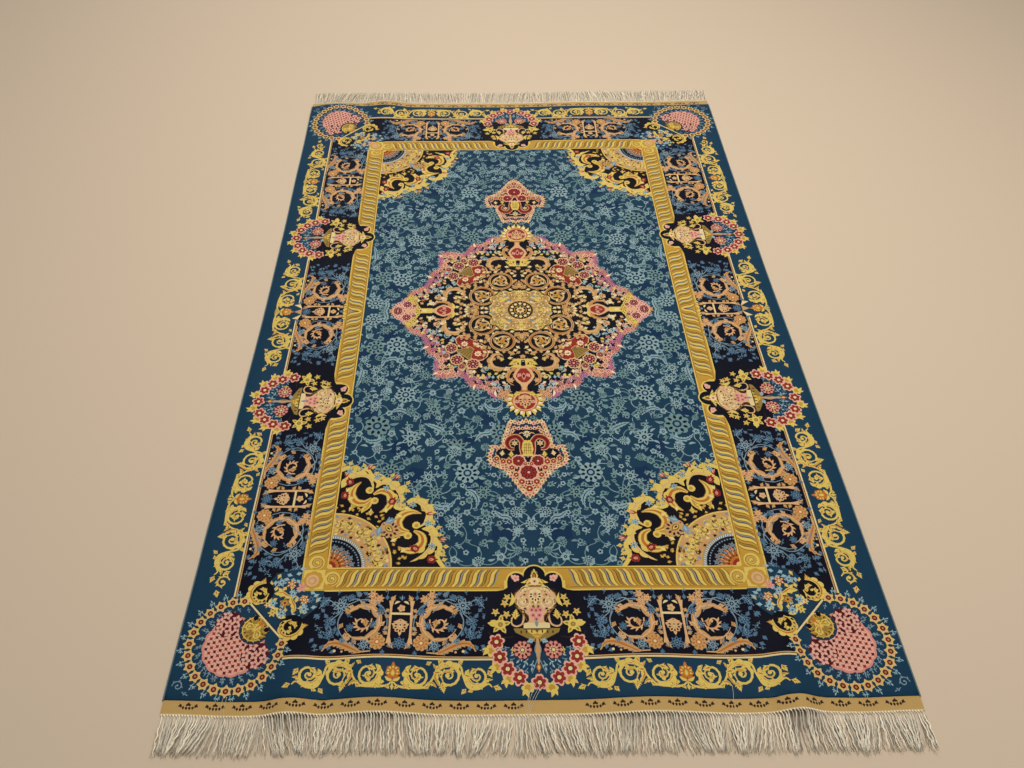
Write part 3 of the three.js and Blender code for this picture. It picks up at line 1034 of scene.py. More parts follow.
design += paint(wedge, "teal")
for place, turn in scattered(wedge, 14, 6):
    put(split_leaf(13, "lemon" if turn > 150 else "ice", None, 2), place, turn)
design += paint(disc(99, 28) + ROUNDEL, "teal")
put(roundel_motif, ROUNDEL, -45)
put(half_moon(), 537+790j, 128)
put(half_moon(), 467+862j, 142, flip=True)
for place, radius, petal, heart in ((480+772j, 11, "amber", "ivory"), (487+812j, 11, "gold", "brick"),
                                    (450+806j, 11, "amber", "ivory"), (500+768j, 10, "ice", "sky"),
                                    (490+834j, 10, "ice", "sky"), (448+826j, 10, "ice", "sky"),
                                    (474+793j, 9, "ice", "sky"), (510+812j, 9, "ice", "sky"),
                                    (459+780j, 11, "pink", "rose"), (508+832j, 9, "lemon", "gold"),
                                    (520+815j, 7, "cream", "amber"), (437+805j, 8, "sky", "navy")):
    put(starry_blossom(radius, 6, petal, heart, "wine"), place, place.real)
put(volute(11, -1.2, 2.2, "mist", None, 3), 655+975j)
put(sprig(14, "mist", "mist"), 645+985j, 60)
print(len(design), "shapes with ropes and corners")
# %% [markdown]
# ## The vases
# At the middle of each side a vase stands in an arch that cuts into the rope. Its foot carries a spray of
# leaves and its flowers fan out over the guard border in a ring. It is drawn once for the short side, with
# its height as distance from the rug's centre, and set a little smaller on the long side.

# %% Vase
def urn():
    body = [(778, 12), (781, 24), (786, 35), (793, 42), (803, 45), (812, 44), (822, 38), (832, 28),
            (842, 19), (850, 16), (856, 20), (860, 27), (866, 27)]
    motif = paint(profile(body), "bark")
    motif += paint(profile([(height * 0.955 + 36.6, half - 2.4) for height, half in body]), "ochre")
    motif += paint(profile([(height * 0.93 + 57.2, half - 4.4) for height, half in body]), "peach")
    for k, (place, turn) in enumerate(scattered(profile([(786, 34), (812, 42), (834, 24)]), 7.2, 2)):
        motif += moved(split_leaf(8.5, ("bark", "tan", "olive", "rose")[k % 4], None, 2), place, turn)
    motif += pair(volute(14, -1.5, 3.6, "cream", "ochre", 6, 0.24, 200), 25+812j)
    motif += pair(acanthus(bent(26, 7), 11, "cream", "ochre", "bark", 4), 8+784j, -62)
    motif += moved(palmette(30, "cream", "bark", "tan", "rose", 9), 784j)
    motif += both(stroke(curve(40+820j, 30+830j, 22+842j, 18+852j), "ochre", 1, 2.4, 1))
    motif += paint(box_shape(-14+826j, 14+850j), "rose")
    motif += each(small_blossom(5.4, 5, "pink", "magenta"), 830j, 6+840j, -6+840j, 8+829j, -8+829j, 848j)
    motif += paint(profile([(855, 22), (857, 25), (865, 25), (866, 24)]), "cream")
    motif += stroke([-25+867.5j, 25+867.5j], "bark", 2)
    motif += paint(leaf(14, 7) + 850j, "mist")
    return motif


def crown():
    motif = paint(disc(19, 16) + 757j, "navy")
    motif += both(around(paint(leaf(27, 8, 3), "lemon"), (100, 118, 137, 157), 3, 760j))
    motif += paint(leaf(34, 15) + 742j, "lemon") + paint(leaf(24, 8) + 748j, "bark")
    motif += paint(leaf(19, 5) + 751j, "amber")
    motif += both(around(paint(leaf(17, 4.5, 2), "amber"), (110, 134), 6, 760j))
    motif += both(stroke(curve(2+745j, 9+758j, 16+770j, 24+778j), "bark", 1.2))
    motif += paint(lobed(9.5, 7, 0.2) + 769j, "cream") + paint(disc(4.5, 7) + 769j, "rose")
    motif += paint(disc(2.2, 5) + 769j, "wine")
    motif += pair(small_blossom(8, 5, "rose", "pink"), 37+762j)
    motif += pair(paint(leaf(13, 7), "rose"), 40+764j, -150)
    return motif


def handles():
    hook = curve(30+826j, 24+838j, 27+856j, 38+862j, 47+857j, 47+846j, 42+842j, 39+847j)
    motif = both(stroke(hook, "peach", 4, 3.2, 2.2))
    motif += pair(split_leaf(22, "lemon", "gold", 3), 41+848j, 172)
    return motif


def foliage():
    motif = paint(profile([(866, 44), (874, 41), (880, 30), (888, 14), (893, 5)]), "olive")
    for angle in range(-78, 79, 13):
        motif += moved(paint(leaf(25 if angle % 2 else 22, 8, 2), "gold" if angle % 2 else "lemon"),
                       complex(angle * 0.24, 869), angle * 0.95)
    for across in range(-30, 31, 10):
        motif += paint(leaf(8, 3, points=2) + complex(across, 868 + abs(across) * 0.05), "bark")
    return motif


def fan():
    centre = 892j
    motif = around(sprig(20, "ice", "ice", 1.4), (60, 45, 28, 120, 135, 152, 76, 104), 38, centre)
    motif += around(sprig(17, "mist", "mist", 1.4), (68, 52, 36, 112, 128, 144, 12, 168), 54, centre)
    for angle in (11, 32, 52, 76):
        leafy = paint(lobed(12.5, 5, 0.34), "lemon") + paint(disc(6.5, 7), "gold")
        for side in (angle, 180 - angle):
            motif += moved(leafy, centre + polar(89, side), side)
            motif += moved(paint(leaf(15, 7, 2), "lemon"), centre + polar(92, side), side - UP + 24)
            motif += moved(paint(leaf(15, 7, 2), "lemon"), centre + polar(92, side), side - UP - 24)
    for angle in (0, 22, 42, 62, 90, 118, 138, 158, 180):
        bloom = paint(lobed(16.5, 6, 0.3), "rose") + paint(lobed(12.5, 6, 0.3), "brick")
        bloom += paint(disc(5.6, 8), "wine") + paint(disc(4.2, 7), "cream")
        motif += moved(bloom, centre + polar(77, angle), angle + 12)
    return motif


def vase():
    motif = paint(disc(24.5, 20) + 757j, "lemon") + both(paint(disc(20.5, 18) + 36+767j, "lemon"))
    motif += paint(box_shape(-60+767j, 60+792j), "lemon")
    motif += pair(split_leaf(16, "gold", "amber"), 62+784j, -150)
    motif += paint(disc(21.5, 20) + 757j, "navy") + both(paint(disc(17.5, 18) + 36+768j, "navy"))
    motif += paint(box_shape(-54+768j, 54+792j), "navy")
    motif += paint(profile([(786, 58), (792, 92), (885, 104), (900, 92), (925, 72)]), "navy")
    motif += paint(disc(86, 28) + 892j, "teal")
    motif += paint(profile([(782, 54), (800, 84), (884, 96), (902, 80), (906, 30), (912, 5)]), "navy")
    motif += both(stroke(curve(92+872j, 84+882j, 60+884j, 44+882j), "bark", 2, 3, 1.5))
    motif += fan() + foliage() + handles() + crown() + urn()
    motif += pair(starry_blossom(20, 5, "lemon", "olive", "gold"), 69+858j, 30)
    motif += pair(paint(leaf(20, 12), "lemon"), 74+858j, -100)
    for place in (60+815j, 78+833j, 57+838j, 55+803j):
        motif += pair(starry_blossom(8.5, 5, "lemon", "amber", "cream"), place)
    motif += pair(paint(leaf(30, 8, 6), "lemon"), 52+822j, 170)
    rosette = blossom(17.5, 10, "pink", "wine", "wine", "cream")
    rosette += around(paint(leaf(4, 2.5, points=2), "cream"), even(9), 4)
    motif += pair(paint(lobed(19, 10, 0.12), "wine") + rosette, 29+908j)
    motif += pair(sprig(14, "cream", "lemon"), 46+902j, -12)
    stem = curve(886j, 1+912j, 930j, 950j)
    motif += stroke(stem, "bark", 8, 12, 6, 4) + stroke(stem, "tan", 5, 8, 4, 2)
    motif += both(stroke(curve(2+894j, 6+908j, 2+924j, 13+952j), "mist", 1.5))
    motif += pair(split_leaf(16, "ice", "mist"), 6+888j, -70)
    motif += paint(leaf(15, 9) + 934j, "amber") + paint(leaf(9, 4) + 937j, "lemon")
    return motif


design += vase()
LONG_VASE = 0.96
arch_top = 737
long_vase = moved([(s - 1j * arch_top, dye) for s, dye in vase()], size=LONG_VASE)
design += [(1j * np.conj(s) + complex(412, 302), dye) for s, dye in long_vase]
print(len(design), "shapes with vases")
# %% [markdown]
# ## The medallion
# The bright middle of the rug is built in zones, from a dotted rosette on a leafy tan plaque, through a
# dark
# ring of gold roundels and four red baskets of flowers, to an edge set with small pink flowers. All its
# dyes are warm, which is why it shines out of the blue field.

# %% Edge of the medallion
medallion_edge = curve(354j, 26+346j, 42+306j, 48+286j, 62+296j, 74+292j, 88+272j, 106+262j, 124+262j,
                       140+236j, 152+224j, 190+229j, 212+226j, 216+196j, 214+164j, 236+146j, 246+108j,
                       262+86j, 288+70j, 300+46j, 322+24j, 342+0j, steps=3)
design += paint(np.concatenate([medallion_edge, [342-30j, -30-30j, -30+354j]]), "navy")

edge_walk = resampled(medallion_edge[6:], 44)
EDGE_DYES = [("peach", "brick"), ("pink", "magenta"), ("lilac", "magenta"), ("rose", "brick"),
             ("cream", "amber")]
for ring, (inset, size) in enumerate(((3, 9), (17, 8), (30, 7))):
    for k, place in enumerate(edge_walk):
        inward = -place / abs(place)
        warm = 4 if 36 < k < 42 and ring else (1 + (k // 3 + ring) % 3)
        petal, heart = EDGE_DYES[warm if 3 < k < 41 else 0]
        flower = starry_blossom(size * 1.15, 5 + k % 2, petal, heart, "cream")
        flower += paint(disc(size * 0.4, 7), heart) + paint(disc(size * 0.16, 5), "cream")
        twig = sprig(11, "cream", "ivory", 1.2) if ring == 1 else []
        put(twig, place + inward * (inset + 8), math.degrees(np.angle(place)) - UP + 30 * (-1) ** k)
        if (k + ring) % 2 == 0 or ring == 0:
            put(flower, place + inward * inset, k * 31)
for place, turn in ((70+274j, 30), (206+214j, -40), (236+128j, -40), (118+254j, 10)):
    put(paint(leaf(20, 6, 2), "ivory"), place, turn - 20)
design += each(pointed_blossom(9, "rose", "brick", "cream", "peach", 6), 206+216j, 190+214j, 176+212j,
               200+196j, 203+180j, 196+166j)

# %% Flowers and curls between edge and baskets
infill = np.array([60+270j, 100+245j, 150+215j, 196+190j, 210+150j, 236+100j, 290+50j, 262+14j, 200+40j,
                   180+90j, 100+180j, 40+215j])
picker = random.Random(12)
for place, turn in scattered(infill, 15, 3):
    dye = picker.choice(("cream", "vine", "lemon", "ivory", "ice", "peach"))
    put(split_leaf(13, dye, None, 2), place, turn)
for u, v, radius, turns, dye in ((228, 76, 12, -1.3, "ice"), (190, 92, 11, 1.3, "vine"),
                                 (70, 254, 12, 1.3, "ice"), (92, 206, 11, -1.3, "vine"),
                                 (248, 56, 9, 1.2, "cream"), (54, 232, 10, -1.2, "lemon"),
                                 (216, 52, 12, 1.2, "peach"), (42, 262, 9, 1.2, "ice"),
                                 (176, 108, 8, 1.2, "ice"), (236, 26, 9, -1.2, "ivory")):
    put(volute(radius, turns, 3, dye, None, 4, 0.28, u), complex(u, v))
for u, v, radius, petal, heart in (
    (215, 50, 8, "peach", "bark"), (230, 26, 8, "ivory", "olive"), (180, 196, 9, "lemon", "bark"),
    (148, 150, 7, "lemon", "bark"), (32, 242, 9, "peach", "amber"), (150, 205, 8, "cream", "brick"),
    (258, 40, 7, "amber", "bark"), (205, 72, 6, "cream", "brick"), (98, 232, 7, "cream", "brick"),
    (84, 222, 6, "lemon", "olive"), (66, 246, 6, "rose", "brick"), (128, 214, 7, "ivory", "magenta"),
):
    put(starry_blossom(radius, 6, petal, heart, "cream"), complex(u, v), u)

# %% Red baskets
basket_ground = np.array([158+92j, 168+104j, 164+120j, 152+130j, 150+146j, 136+150j, 132+164j, 118+176j,
                          102+174j, 90+162j, 86+146j, 98+134j, 108+130j, 112+114j, 128+106j, 140+92j])
basket_middle = complex(126, 132)
basket_rim = basket_middle + (basket_ground - basket_middle) * 1.07
design += paint(basket_rim, "peach") + paint(basket_ground, "brick")
basket = profile([(-16, 7), (-8, 9), (4, 16), (14, 24), (17, 24), (17, 26)])
put(paint(basket * 1.08, "peach") + paint(basket, "olive"), 138+146j, -42)
for lean in (-18, -9, 0, 9, 18):
    put(stroke([lean * 0.3-14j, lean + 15j], "bark", 1.2), 138+146j, -42)
for place, size in ((146+120j, 10), (112+154j, 10)):
    put(pointed_blossom(size, "ivory", "brick", "peach", None, 8), place)
for place in (140+104j, 94+152j, 154+104j, 98+164j):
    design += paint(lobed(7, 6) + place, "wine") + paint(disc(3, 6) + place, "pink")
for place in (137+94j, 84+148j):
    design += paint(disc(4.4, 8) + place, "cream")
design += stroke(curve(124+108j, 108+108j, 106+118j, 96+128j), "peach", 2.4)
design += stroke(curve(124+112j, 118+124j, 104+128j), "peach", 2)
design += paint(lobed(8, 5) + 112+120j, "wine") + paint(disc(4, 6) + 112+120j, "rose")
for place, radius in ((179+134j, 15), (164+174j, 16), (124+188j, 16), (152+196j, 9), (192+160j, 9)):
    design += paint(lobed(radius * 1.14, 9, 0.1) + place, "peach")
    put(blossom(radius * 0.92, 9, "wine", "pink", "magenta", "rose"), place)

# %% Dark ring with gold roundels
for place, radius in ((100+54j, 46), (50+110j, 45), (164+40j, 32), (44+166j, 28), (150j, 26),
                      (140+0j, 30)):
    design += paint(disc(radius, 20) + place, "black")
design += paint(box_shape(-20-20j, 108+104j), "black")


dark_ring = np.concatenate([polar(186, np.arange(0, 91, 10)), polar(84, np.arange(90, -1, -10))])
for place, turn in scattered(dark_ring, 15, 31):
    put(split_leaf(15, "tan" if turn > 140 else "cream", None, 2), place, turn)


def roundel_of_gold(radius):
    motif = paint(disc(radius, 26), "tan")
    motif += stroke(polar(radius - 3.4, np.arange(0, 361, 15)), "bark", 1.2)
    motif += stroke(polar(radius - 6.5, np.arange(40, 200, 15)), "amber", 1, 4, 1)
    motif += paint(disc(radius - 7, 22), "black")
    for angle in (20, 140, 260):
        path = spiral(radius - 10, 6, angle, 0.52, 18)
        motif += stroke(path, "tan", 3.6, 4, 3, 1.5)
        motif += moved(split_leaf(radius * 0.42, "tan", None, 3), path[2], angle + 130)
        motif += moved(split_leaf(radius * 0.36, "cream", None, 2), path[5], angle + 20)
    motif += stroke(polar(radius * 0.5, np.arange(0, 361, 24)), "cream", 1.5)
    return motif + paint(star(radius * 0.27, 5, 0.4), "gold") + paint(disc(radius * 0.1, 6), "amber")


def hook(hand=1):
    """A fat shaded C of acanthus, open on one side, with spikes inside."""
    path = curve(26-24j, 30-4j, 22+18j, 2+24j, -16+14j, -20-2j, -10-12j)
    motif = acanthus(path, 17, "tan", "amber", "bark", 6, -1)
    motif += stroke(path[2:-2] * 0.93, "peach", 1, 4, 1)
    motif += moved(split_leaf(22, "cream", "tan"), 26-24j, -28)
    motif += moved(split_leaf(15, "lemon", "gold"), -8-10j, -60)
    return moved(motif, flip=True) if hand < 0 else motif


put(roundel_of_gold(36), 100+54j, 10)
put(roundel_of_gold(34), 50+112j, 70)
put(hook(), 170+58j, 0)
put(hook(-1), 58+176j, -84)
for size, place, turn in ((26, 112, -90), (24, 84j, 0)):
    put(pair(split_leaf(size, "tan", "amber"), 4-4j, -42), place, turn)
    put(palmette(26, "tan", "bark", "gold", "cream", 9), place, turn)
leafy = split_leaf(19, "tan", "gold")
design += each(leafy, (148+20j, -60), (22+146j, -30), (82+90j, -45), (132+84j, -40), (90+128j, -50))

# %% Palmettes on the two axes
def axis_palmette(size):
    """A red heart under peach scrolls, with a fan of golden leaves at its foot."""
    motif = both(around(paint(leaf(34, 9, 4), "lemon"), (10, 32, 52), 2))
    motif += both(around(paint(leaf(40, 10, -5), "amber"), (22, 44, 66), 2))
    motif += paint(profile([(0, 9), (14, 20), (34, 27), (50, 19), (62, 9), (78, 5)]), "peach")
    motif += paint(profile([(8, 7), (20, 15), (34, 20), (46, 14), (54, 5)]), "brick")
    motif += pair(split_leaf(17, "rose", "amber", 2), 7+24j, -34)
    motif += paint(leaf(26, 11) + 22j, "pink") + paint(leaf(14, 6) + 27j, "wine")
    motif += pair(acanthus(curve(0j, 14+10j, 24+28j, 20+50j, 8+60j), 12, "tan", "amber", "bark", 5, -1),
                  16+4j)
    return moved(motif, size=size)


def end_palmette(size):
    motif = both(around(paint(leaf(22, 9, 3), "lemon"), (85, 62, 40, 18, -4, -26), 26, 26j))
    motif += both(around(paint(leaf(16, 7), "ivory"), (74, 51, 29, 7, -15), 27, 26j))
    motif += paint(lobed(33, 9, 0.08) + 24j, "amber") + paint(disc(29, 16) + 25j, "peach")
    motif += paint(disc(25, 16) + 26j, "brick")
    motif += moved(palmette(38, "peach", "wine", "amber", "rose", 9), 5j)
    motif += pair(split_leaf(17, "rose", "amber", 2), 13+24j, -70)
    motif += pair(split_leaf(22, "lemon", "gold"), 8-2j, -66)
    return moved(motif, size=size)


put(axis_palmette(0.98), 196j)
put(pair(split_leaf(30, "lemon", "amber"), 10+6j, -62), 172j)
design += paint(profile([(172, 26), (184, 12), (200, 7), (176, 4)]), "lemon")
design += paint(box_shape(-5+258j, 5+292j), "peach") + both(stroke([6+262j, 8+290j], "amber", 2))
put(end_palmette(1.0), 282j)
put(axis_palmette(0.82), 176, -90)
design += paint(box_shape(232-9j, 292+9j), "lemon") + paint(box_shape(246-5j, 286+5j), "cream")
design += paint(np.array([262+8j, 276+34j, 292+66j, 306+42j, 330+20j, 342+0j, 342-10j, 262-10j]), "gold")
design += paint(np.array([276+0j, 284+24j, 300+38j, 322+22j, 340+0j, 340-10j, 276-10j]), "peach")
for place, turn in scattered(np.array([262+0j, 276+30j, 292+62j, 330+20j, 342+0j]), 8.5, 6):
    dyes = ("lemon", "bark") if place.real - 0.6 * place.imag < 272 else ("rose", "magenta")
    put(small_blossom(5, 5, *dyes), place, turn)
for place in (277+40j, 290+56j, 296+40j):
    put(starry_blossom(8, 5, "lemon", "bark", "amber"), place, place.imag * 5)
for place, radius in ((299+24j, 13), (323+3j, 13), (280+18j, 6)):
    put(paint(lobed(radius * 1.1, 8, 0.1), "rose")
        + blossom(radius * 0.9, 8, "wine", "pink", "magenta", "rose"), place)

# %% Middle of the medallion
plaque = curve(80+0j, 82+14j, 74+24j, 80+38j, 76+52j, 62+56j, 54+66j, 40+74j, 26+68j, 14+74j, 72j,
               steps=3)
plaque = np.concatenate([plaque, [-20+72j, -20-20j, 80-20j]])
design += paint(plaque * 1.04, "bark") + paint(plaque, "lemon") + paint(plaque * 0.95, "tan")
for k, (place, turn) in enumerate(scattered(plaque * 0.95, 9, 4)):
    put(split_leaf(11, ("olive", "cream", "moss", "cream")[k % 4], None, 2), place, turn)
for angle in (0, 90):
    put(palmette(26, "lemon", "ochre", "gold", "ivory", 9), polar(40, angle), angle - UP)
put(palmette(27, "lemon", "ochre", "gold", "ivory", 9), 40+34j, -45)
for place, start, turns in ((60+20j, 40, 1.3), (24+58j, 50, -1.3), (68+44j, 200, -1.2),
                            (50+62j, 250, 1.2)):
    put(volute(11, turns, 2.6, "olive", None, 3, 0.25, start), place)
for k in range(10):
    put(sprig(11, "ochre", "ochre", 1.2), polar(44, 4 + 9 * k), 9 * k - UP + 20 * (-1) ** k)
design += paint(disc(35, 26), "gold") + paint(disc(33, 26), "bark") + paint(disc(31, 24), "black")
design += around(paint(lobed(4.6, 5, 0.2), "cream"), even(12), 24)
design += around(paint(disc(1.8, 5), "gold"), even(12, 15), 28)
design += paint(disc(17, 16), "gold") + paint(disc(15, 14), "black") + paint(star(14, 8, 0.42), "cream")
design += paint(disc(6, 8), "gold") + paint(disc(3, 6), "brick")

# %% [markdown]
# ## The pendants
# From each end of the medallion hangs a pendant with a scalloped edge of small flowers. Inside stand a
# lattice urn between two red scrolls on a dark ground, and a bouquet of wine-red blossoms that ends in a
# point. It is drawn at a handy size first and then shrunk towards the medallion as a whole.

# %% Pendant
pendant_edge = curve(590j, 12+582j, 22+566j, 33+548j, 44+532j, 58+514j, 72+506j, 88+498j, 95+480j,
                     90+462j, 86+446j, 66+452j, 58+436j, 56+420j, 50+404j, 46+386j, 38+368j, 20+374j,
                     366j, steps=3)
PENDANT_TOP = 366j
PENDANT_MIDDLE = 478j
PENDANT_SIZE = 0.9
pendant = paint(np.concatenate([pendant_edge, [-20+366j, -20+590j]]), "teal")
for k, place in enumerate(resampled(pendant_edge, 34)):
    outward = math.degrees(np.angle(place - PENDANT_MIDDLE))
    pendant += moved(paint(leaf(11, 4.5, points=2), ("cream", "peach")[k % 2]), place, outward - UP)
    floret = paint(lobed(6.6, 5, 0.25), ("peach", "rose", "cream")[k % 3]) + paint(disc(2.4, 5), "brick")
    pendant += moved(floret, place, k * 20)
inside = PENDANT_MIDDLE + (pendant_edge - PENDANT_MIDDLE) * 0.86
pendant += paint(np.concatenate([inside, [-20+384j, -20+570j]]), "navy")
for k, (place, turn) in enumerate(scattered(inside, 8.4, 9)):
    pendant += moved(split_leaf(9.5, ("peach", "brick", "rose", "tan")[k % 4], None, 2), place, turn)
for k, place in enumerate(resampled(PENDANT_MIDDLE + (pendant_edge - PENDANT_MIDDLE) * 0.82, 26)):
    pendant += moved(small_blossom(6.2, 5, ("peach", "rose")[k % 2], "wine"), place, k * 15)
dark_ground = np.array([-20+394j, 24+395j, 38+408j, 48+430j, 54+452j, 74+456j, 80+470j, 62+484j, 44+478j,
                        -20+478j])
pendant += paint(dark_ground, "navy")
pendant += moved(split_leaf(19, "cream", "lemon", 2), 65+476j, 172)
pendant += moved(split_leaf(20, "lemon", "gold"), 42+480j, 176)
scroll = curve(13+474j, 15+452j, 14+432j, 26+417j, 43+421j, 51+436j, 45+452j, 33+455j)
pendant += stroke(scroll, "peach", 9, 15, 17, 15, 8) + stroke(scroll, "brick", 5, 11, 13, 11, 4)
pendant += stroke(scroll[2:-2], "wine", 1, 4, 4, 1)
pendant += moved(starry_blossom(9, 6, "cream", "brick", "peach"), 32+437j)
pendant += both(stroke(curve(20+408j, 12+404j, 4+412j), "peach", 2, 3, 2))
pendant += moved(palmette(20, "cream", "navy", "teal", "ice", 7), 398j)
pendant += paint(profile([(428, 6), (436, 12), (456, 15), (468, 11), (477, 17)]), "lemon")
for across in (-8, -3, 3, 8):
    pendant += stroke([across * 0.7+436j, across + 470j], "ochre", 1.4)
for along in (442, 451, 460):
    pendant += stroke([-11 + 1j * along, 11 + 1j * along], "ochre", 1.2)
for place, radius in ((24+491j, 14), (525j, 19)):
    bloom = paint(lobed(radius * 1.4, 10, 0.12), "rose") + paint(lobed(radius * 1.1, 10, 0.1), "wine")
    pendant += moved(bloom + blossom(radius, 9, "brick", "wine", "wine", "rose"), place)
for place, radius in ((18+552j, 8), (572j, 9), (47+493j, 8), (41+511j, 7), (31+532j, 7), (62+492j, 7),
                      (78+484j, 7), (8+500j, 5)):
    bloom = paint(lobed(radius * 1.3, 7, 0.15), "peach") + paint(lobed(radius, 6, 0.2), "brick")
    pendant += moved(bloom + paint(disc(radius * 0.3, 6), "cream"), place, radius * 20)
put(pendant, PENDANT_TOP * (1 - PENDANT_SIZE), size=PENDANT_SIZE)
print(len(design), "shapes with medallion and pendants")

# %% [markdown]
# ## From painted shapes to cells of the cloth
# Thousands of overlapping outlines have to become one surface in which every cell has one dye. A
# constrained triangulation cuts all outlines with each other, and the shape painted last wins in each
# triangle. Edges between triangles of one dye are then dropped, nearly straight runs are thinned, and a
# second triangulation of what is left gives the final cells, with extra points so that the cloth can bend.
# An image would be simpler, but it would blur where the camera comes near.

# %% Overlay
MARGIN = 1.0
STRAIGHT = 0.28  # how far a dye's edge may move when it is thinned, in millimetres
SMALLEST_SHAPE = 0.4  # square millimetres
HAIR = 0.004  # points this near to the rim count as lying on it


def anticlockwise(shape):
    ahead = np.roll(shape, -1)
    area = np.sum(shape.real * ahead.imag - ahead.real * shape.imag) / 2
    return (shape if area > 0 else shape[::-1]), abs(area)


def cut_together(shapes, low, high):
    """All outlines cut with each other: points, triangles, and the last painted dye in each triangle."""
    points = []
    loops = []
    dyes = []
    for shape, dye in shapes:
        beside = shape.real.min() > high.real + MARGIN or shape.imag.min() > high.imag + MARGIN
        before = shape.real.max() < low.real - MARGIN or shape.imag.max() < low.imag - MARGIN
        shape, area = anticlockwise(shape)
        if beside or before or area < SMALLEST_SHAPE:
            continue
        loops.append(list(range(len(points), len(points) + len(shape))))
        points += [Vector((p.real, p.imag)) for p in shape]
        dyes.append(DYE_NAMES.index(dye))
    found = delaunay_2d_cdt(points, [], loops, 0, 1e-4, True)
    last = [max(owners) if owners else 0 for owners in found[5]]
    return np.array([p[:] for p in found[0]]), np.array(found[2]), np.array(dyes)[last]


def dye_edges(points, triangles, dyes):
    """Edges with a different dye on each side."""
    pairs = np.sort(np.stack([triangles, np.roll(triangles, -1, axis=1)], axis=-1).reshape(-1, 2), axis=1)
    owner = np.repeat(np.arange(len(triangles)), 3)
    key = pairs[:, 0].astype(np.int64) * len(points) + pairs[:, 1]
    order = np.argsort(key, kind="stable")
    same = np.nonzero(key[order][1:] == key[order][:-1])[0]
    one, other = order[same], order[same + 1]
    return pairs[one[dyes[owner[one]] != dyes[owner[other]]]]


def thinned(points, edges, rounds=7):
    """Leaves out points where a line of edges runs nearly straight on, a part of them in every round."""
    place = points[:, 0] + 1j * points[:, 1]
    for k in range(rounds):
        ends = np.concatenate([edges, edges[:, ::-1]])
        ends = ends[np.argsort(ends[:, 0], kind="stable")]
        first, start, count = np.unique(ends[:, 0], return_index=True, return_counts=True)
        inner = first[count == 2]
        a, b = ends[start[count == 2], 1], ends[start[count == 2] + 1, 1]
        span = place[b] - place[a]
        off = np.abs(((place[inner] - place[a]) * np.conj(span)).imag) / np.maximum(np.abs(span), 1e-9)
        weight = np.full(len(place), -1.0)
        weight[inner] = np.where(off < STRAIGHT * (k + 1) / rounds, np.sin(inner * 12.9898 + k) + 2, -1)
        goes = (weight[inner] > 0) & (weight[inner] > weight[a]) & (weight[inner] > weight[b]) & (a != b)
        dropped = np.zeros(len(place), dtype=bool)
        dropped[inner[goes]] = True
        kept = edges[~dropped[edges].any(axis=1)]
        direct = np.stack([a[goes], b[goes]], axis=1)
        edges = np.unique(np.sort(np.concatenate([kept, direct]), axis=1), axis=0)
    return edges


def shortened(places, edges, longest):
    """Long straight edges get points along them, so that the cloth can bend there too."""
    places = list(places)
    pieces = []
    for a, b in edges.tolist():
        count = int(abs(places[b] - places[a]) / longest) + 1
        chain = [a]
        for k in range(1, count):
            chain.append(len(places))
            places.append(places[a] + (places[b] - places[a]) * k / count)
        chain.append(b)
        pieces += zip(chain, chain[1:])
    return np.array(places), np.array(pieces)


def snapped(places, low, high):
    """Points within a hair of the rectangle's rim are set exactly on it."""
    x, y = places.real.copy(), places.imag.copy()
    for axis, lines in ((x, (low.real, high.real)), (y, (low.imag, high.imag))):
        for line in lines:
            axis[np.abs(axis - line) < HAIR] = line
    return x + 1j * y


def joined(places, cells, dyes):
    """Points at one place become one point, and cells that vanish by it are left out."""
    first = np.unique(np.round(places, 3), return_inverse=True)[1].ravel()
    cells = first[cells]
    whole = (cells[:, 0] != cells[:, 1]) & (cells[:, 1] != cells[:, 2]) & (cells[:, 2] != cells[:, 0])
    kept_places = np.empty(first.max() + 1, dtype=complex)
    kept_places[first] = places
    used, cells = np.unique(cells[whole], return_inverse=True)
    return kept_places[used], cells.reshape(-1, 3), dyes[whole]


def overlay(shapes, low, high, spacing, extra_points=()):
    """The cells between two corners: points as complex numbers, triangles, and a dye number for each."""
    points, triangles, dyes = cut_together(shapes, low, high)
    edges = dye_edges(points, triangles, dyes)
    place = points[:, 0] + 1j * points[:, 1]
    middle = place[edges].mean(axis=1)
    inside = (middle.real > low.real - 2) & (middle.real < high.real + 2)
    inside &= (middle.imag > low.imag - 2) & (middle.imag < high.imag + 2)
    edges = thinned(points, edges[inside])
    used, edges = np.unique(edges, return_inverse=True)
    steps, edges = shortened(place[used], edges.reshape(-1, 2), spacing * 0.6)
    across = np.linspace(low.real, high.real, max(2, round((high.real - low.real) / spacing) + 1))
    along = np.linspace(low.imag, high.imag, max(2, round((high.imag - low.imag) / spacing) + 1))
    grid = (across[:, None] + 1j * along).ravel()
    rim = [low, complex(high.real, low.imag), high, complex(low.real, high.imag)]
    all_places = np.concatenate([steps, rim, grid, np.array(extra_points, dtype=complex)])
    first = len(steps)
    rim_edges = [(first + k, first + (k + 1) % 4) for k in range(4)]
    flat = [Vector((p.real, p.imag)) for p in all_places]
    found = delaunay_2d_cdt(flat, [tuple(e) for e in edges.tolist()] + rim_edges, [], 0, 1e-3, True)
    cells_at = snapped(np.array([complex(*p) for p in found[0]]), low, high)
    cells = np.array(found[2])
    centre = cells_at[cells].mean(axis=1)
    kept = (centre.real > low.real + 1e-6) & (centre.real < high.real - 1e-6)
    kept &= (centre.imag > low.imag + 1e-6) & (centre.imag < high.imag - 1e-6)
    cells, centre = cells[kept], centre[kept]
    tree = BVHTree.FromPolygons([(*p, 0.0) for p in points.tolist()], triangles.tolist())
    down = Vector((0, 0, -1))
    hits = [tree.ray_cast(Vector((c.real, c.imag, 1)), down)[2] for c in centre]
    cell_dyes = np.array([dyes[h] if h is not None else dyes[0] for h in hits])
    return joined(cells_at, cells, cell_dyes)


print("overlay ready")
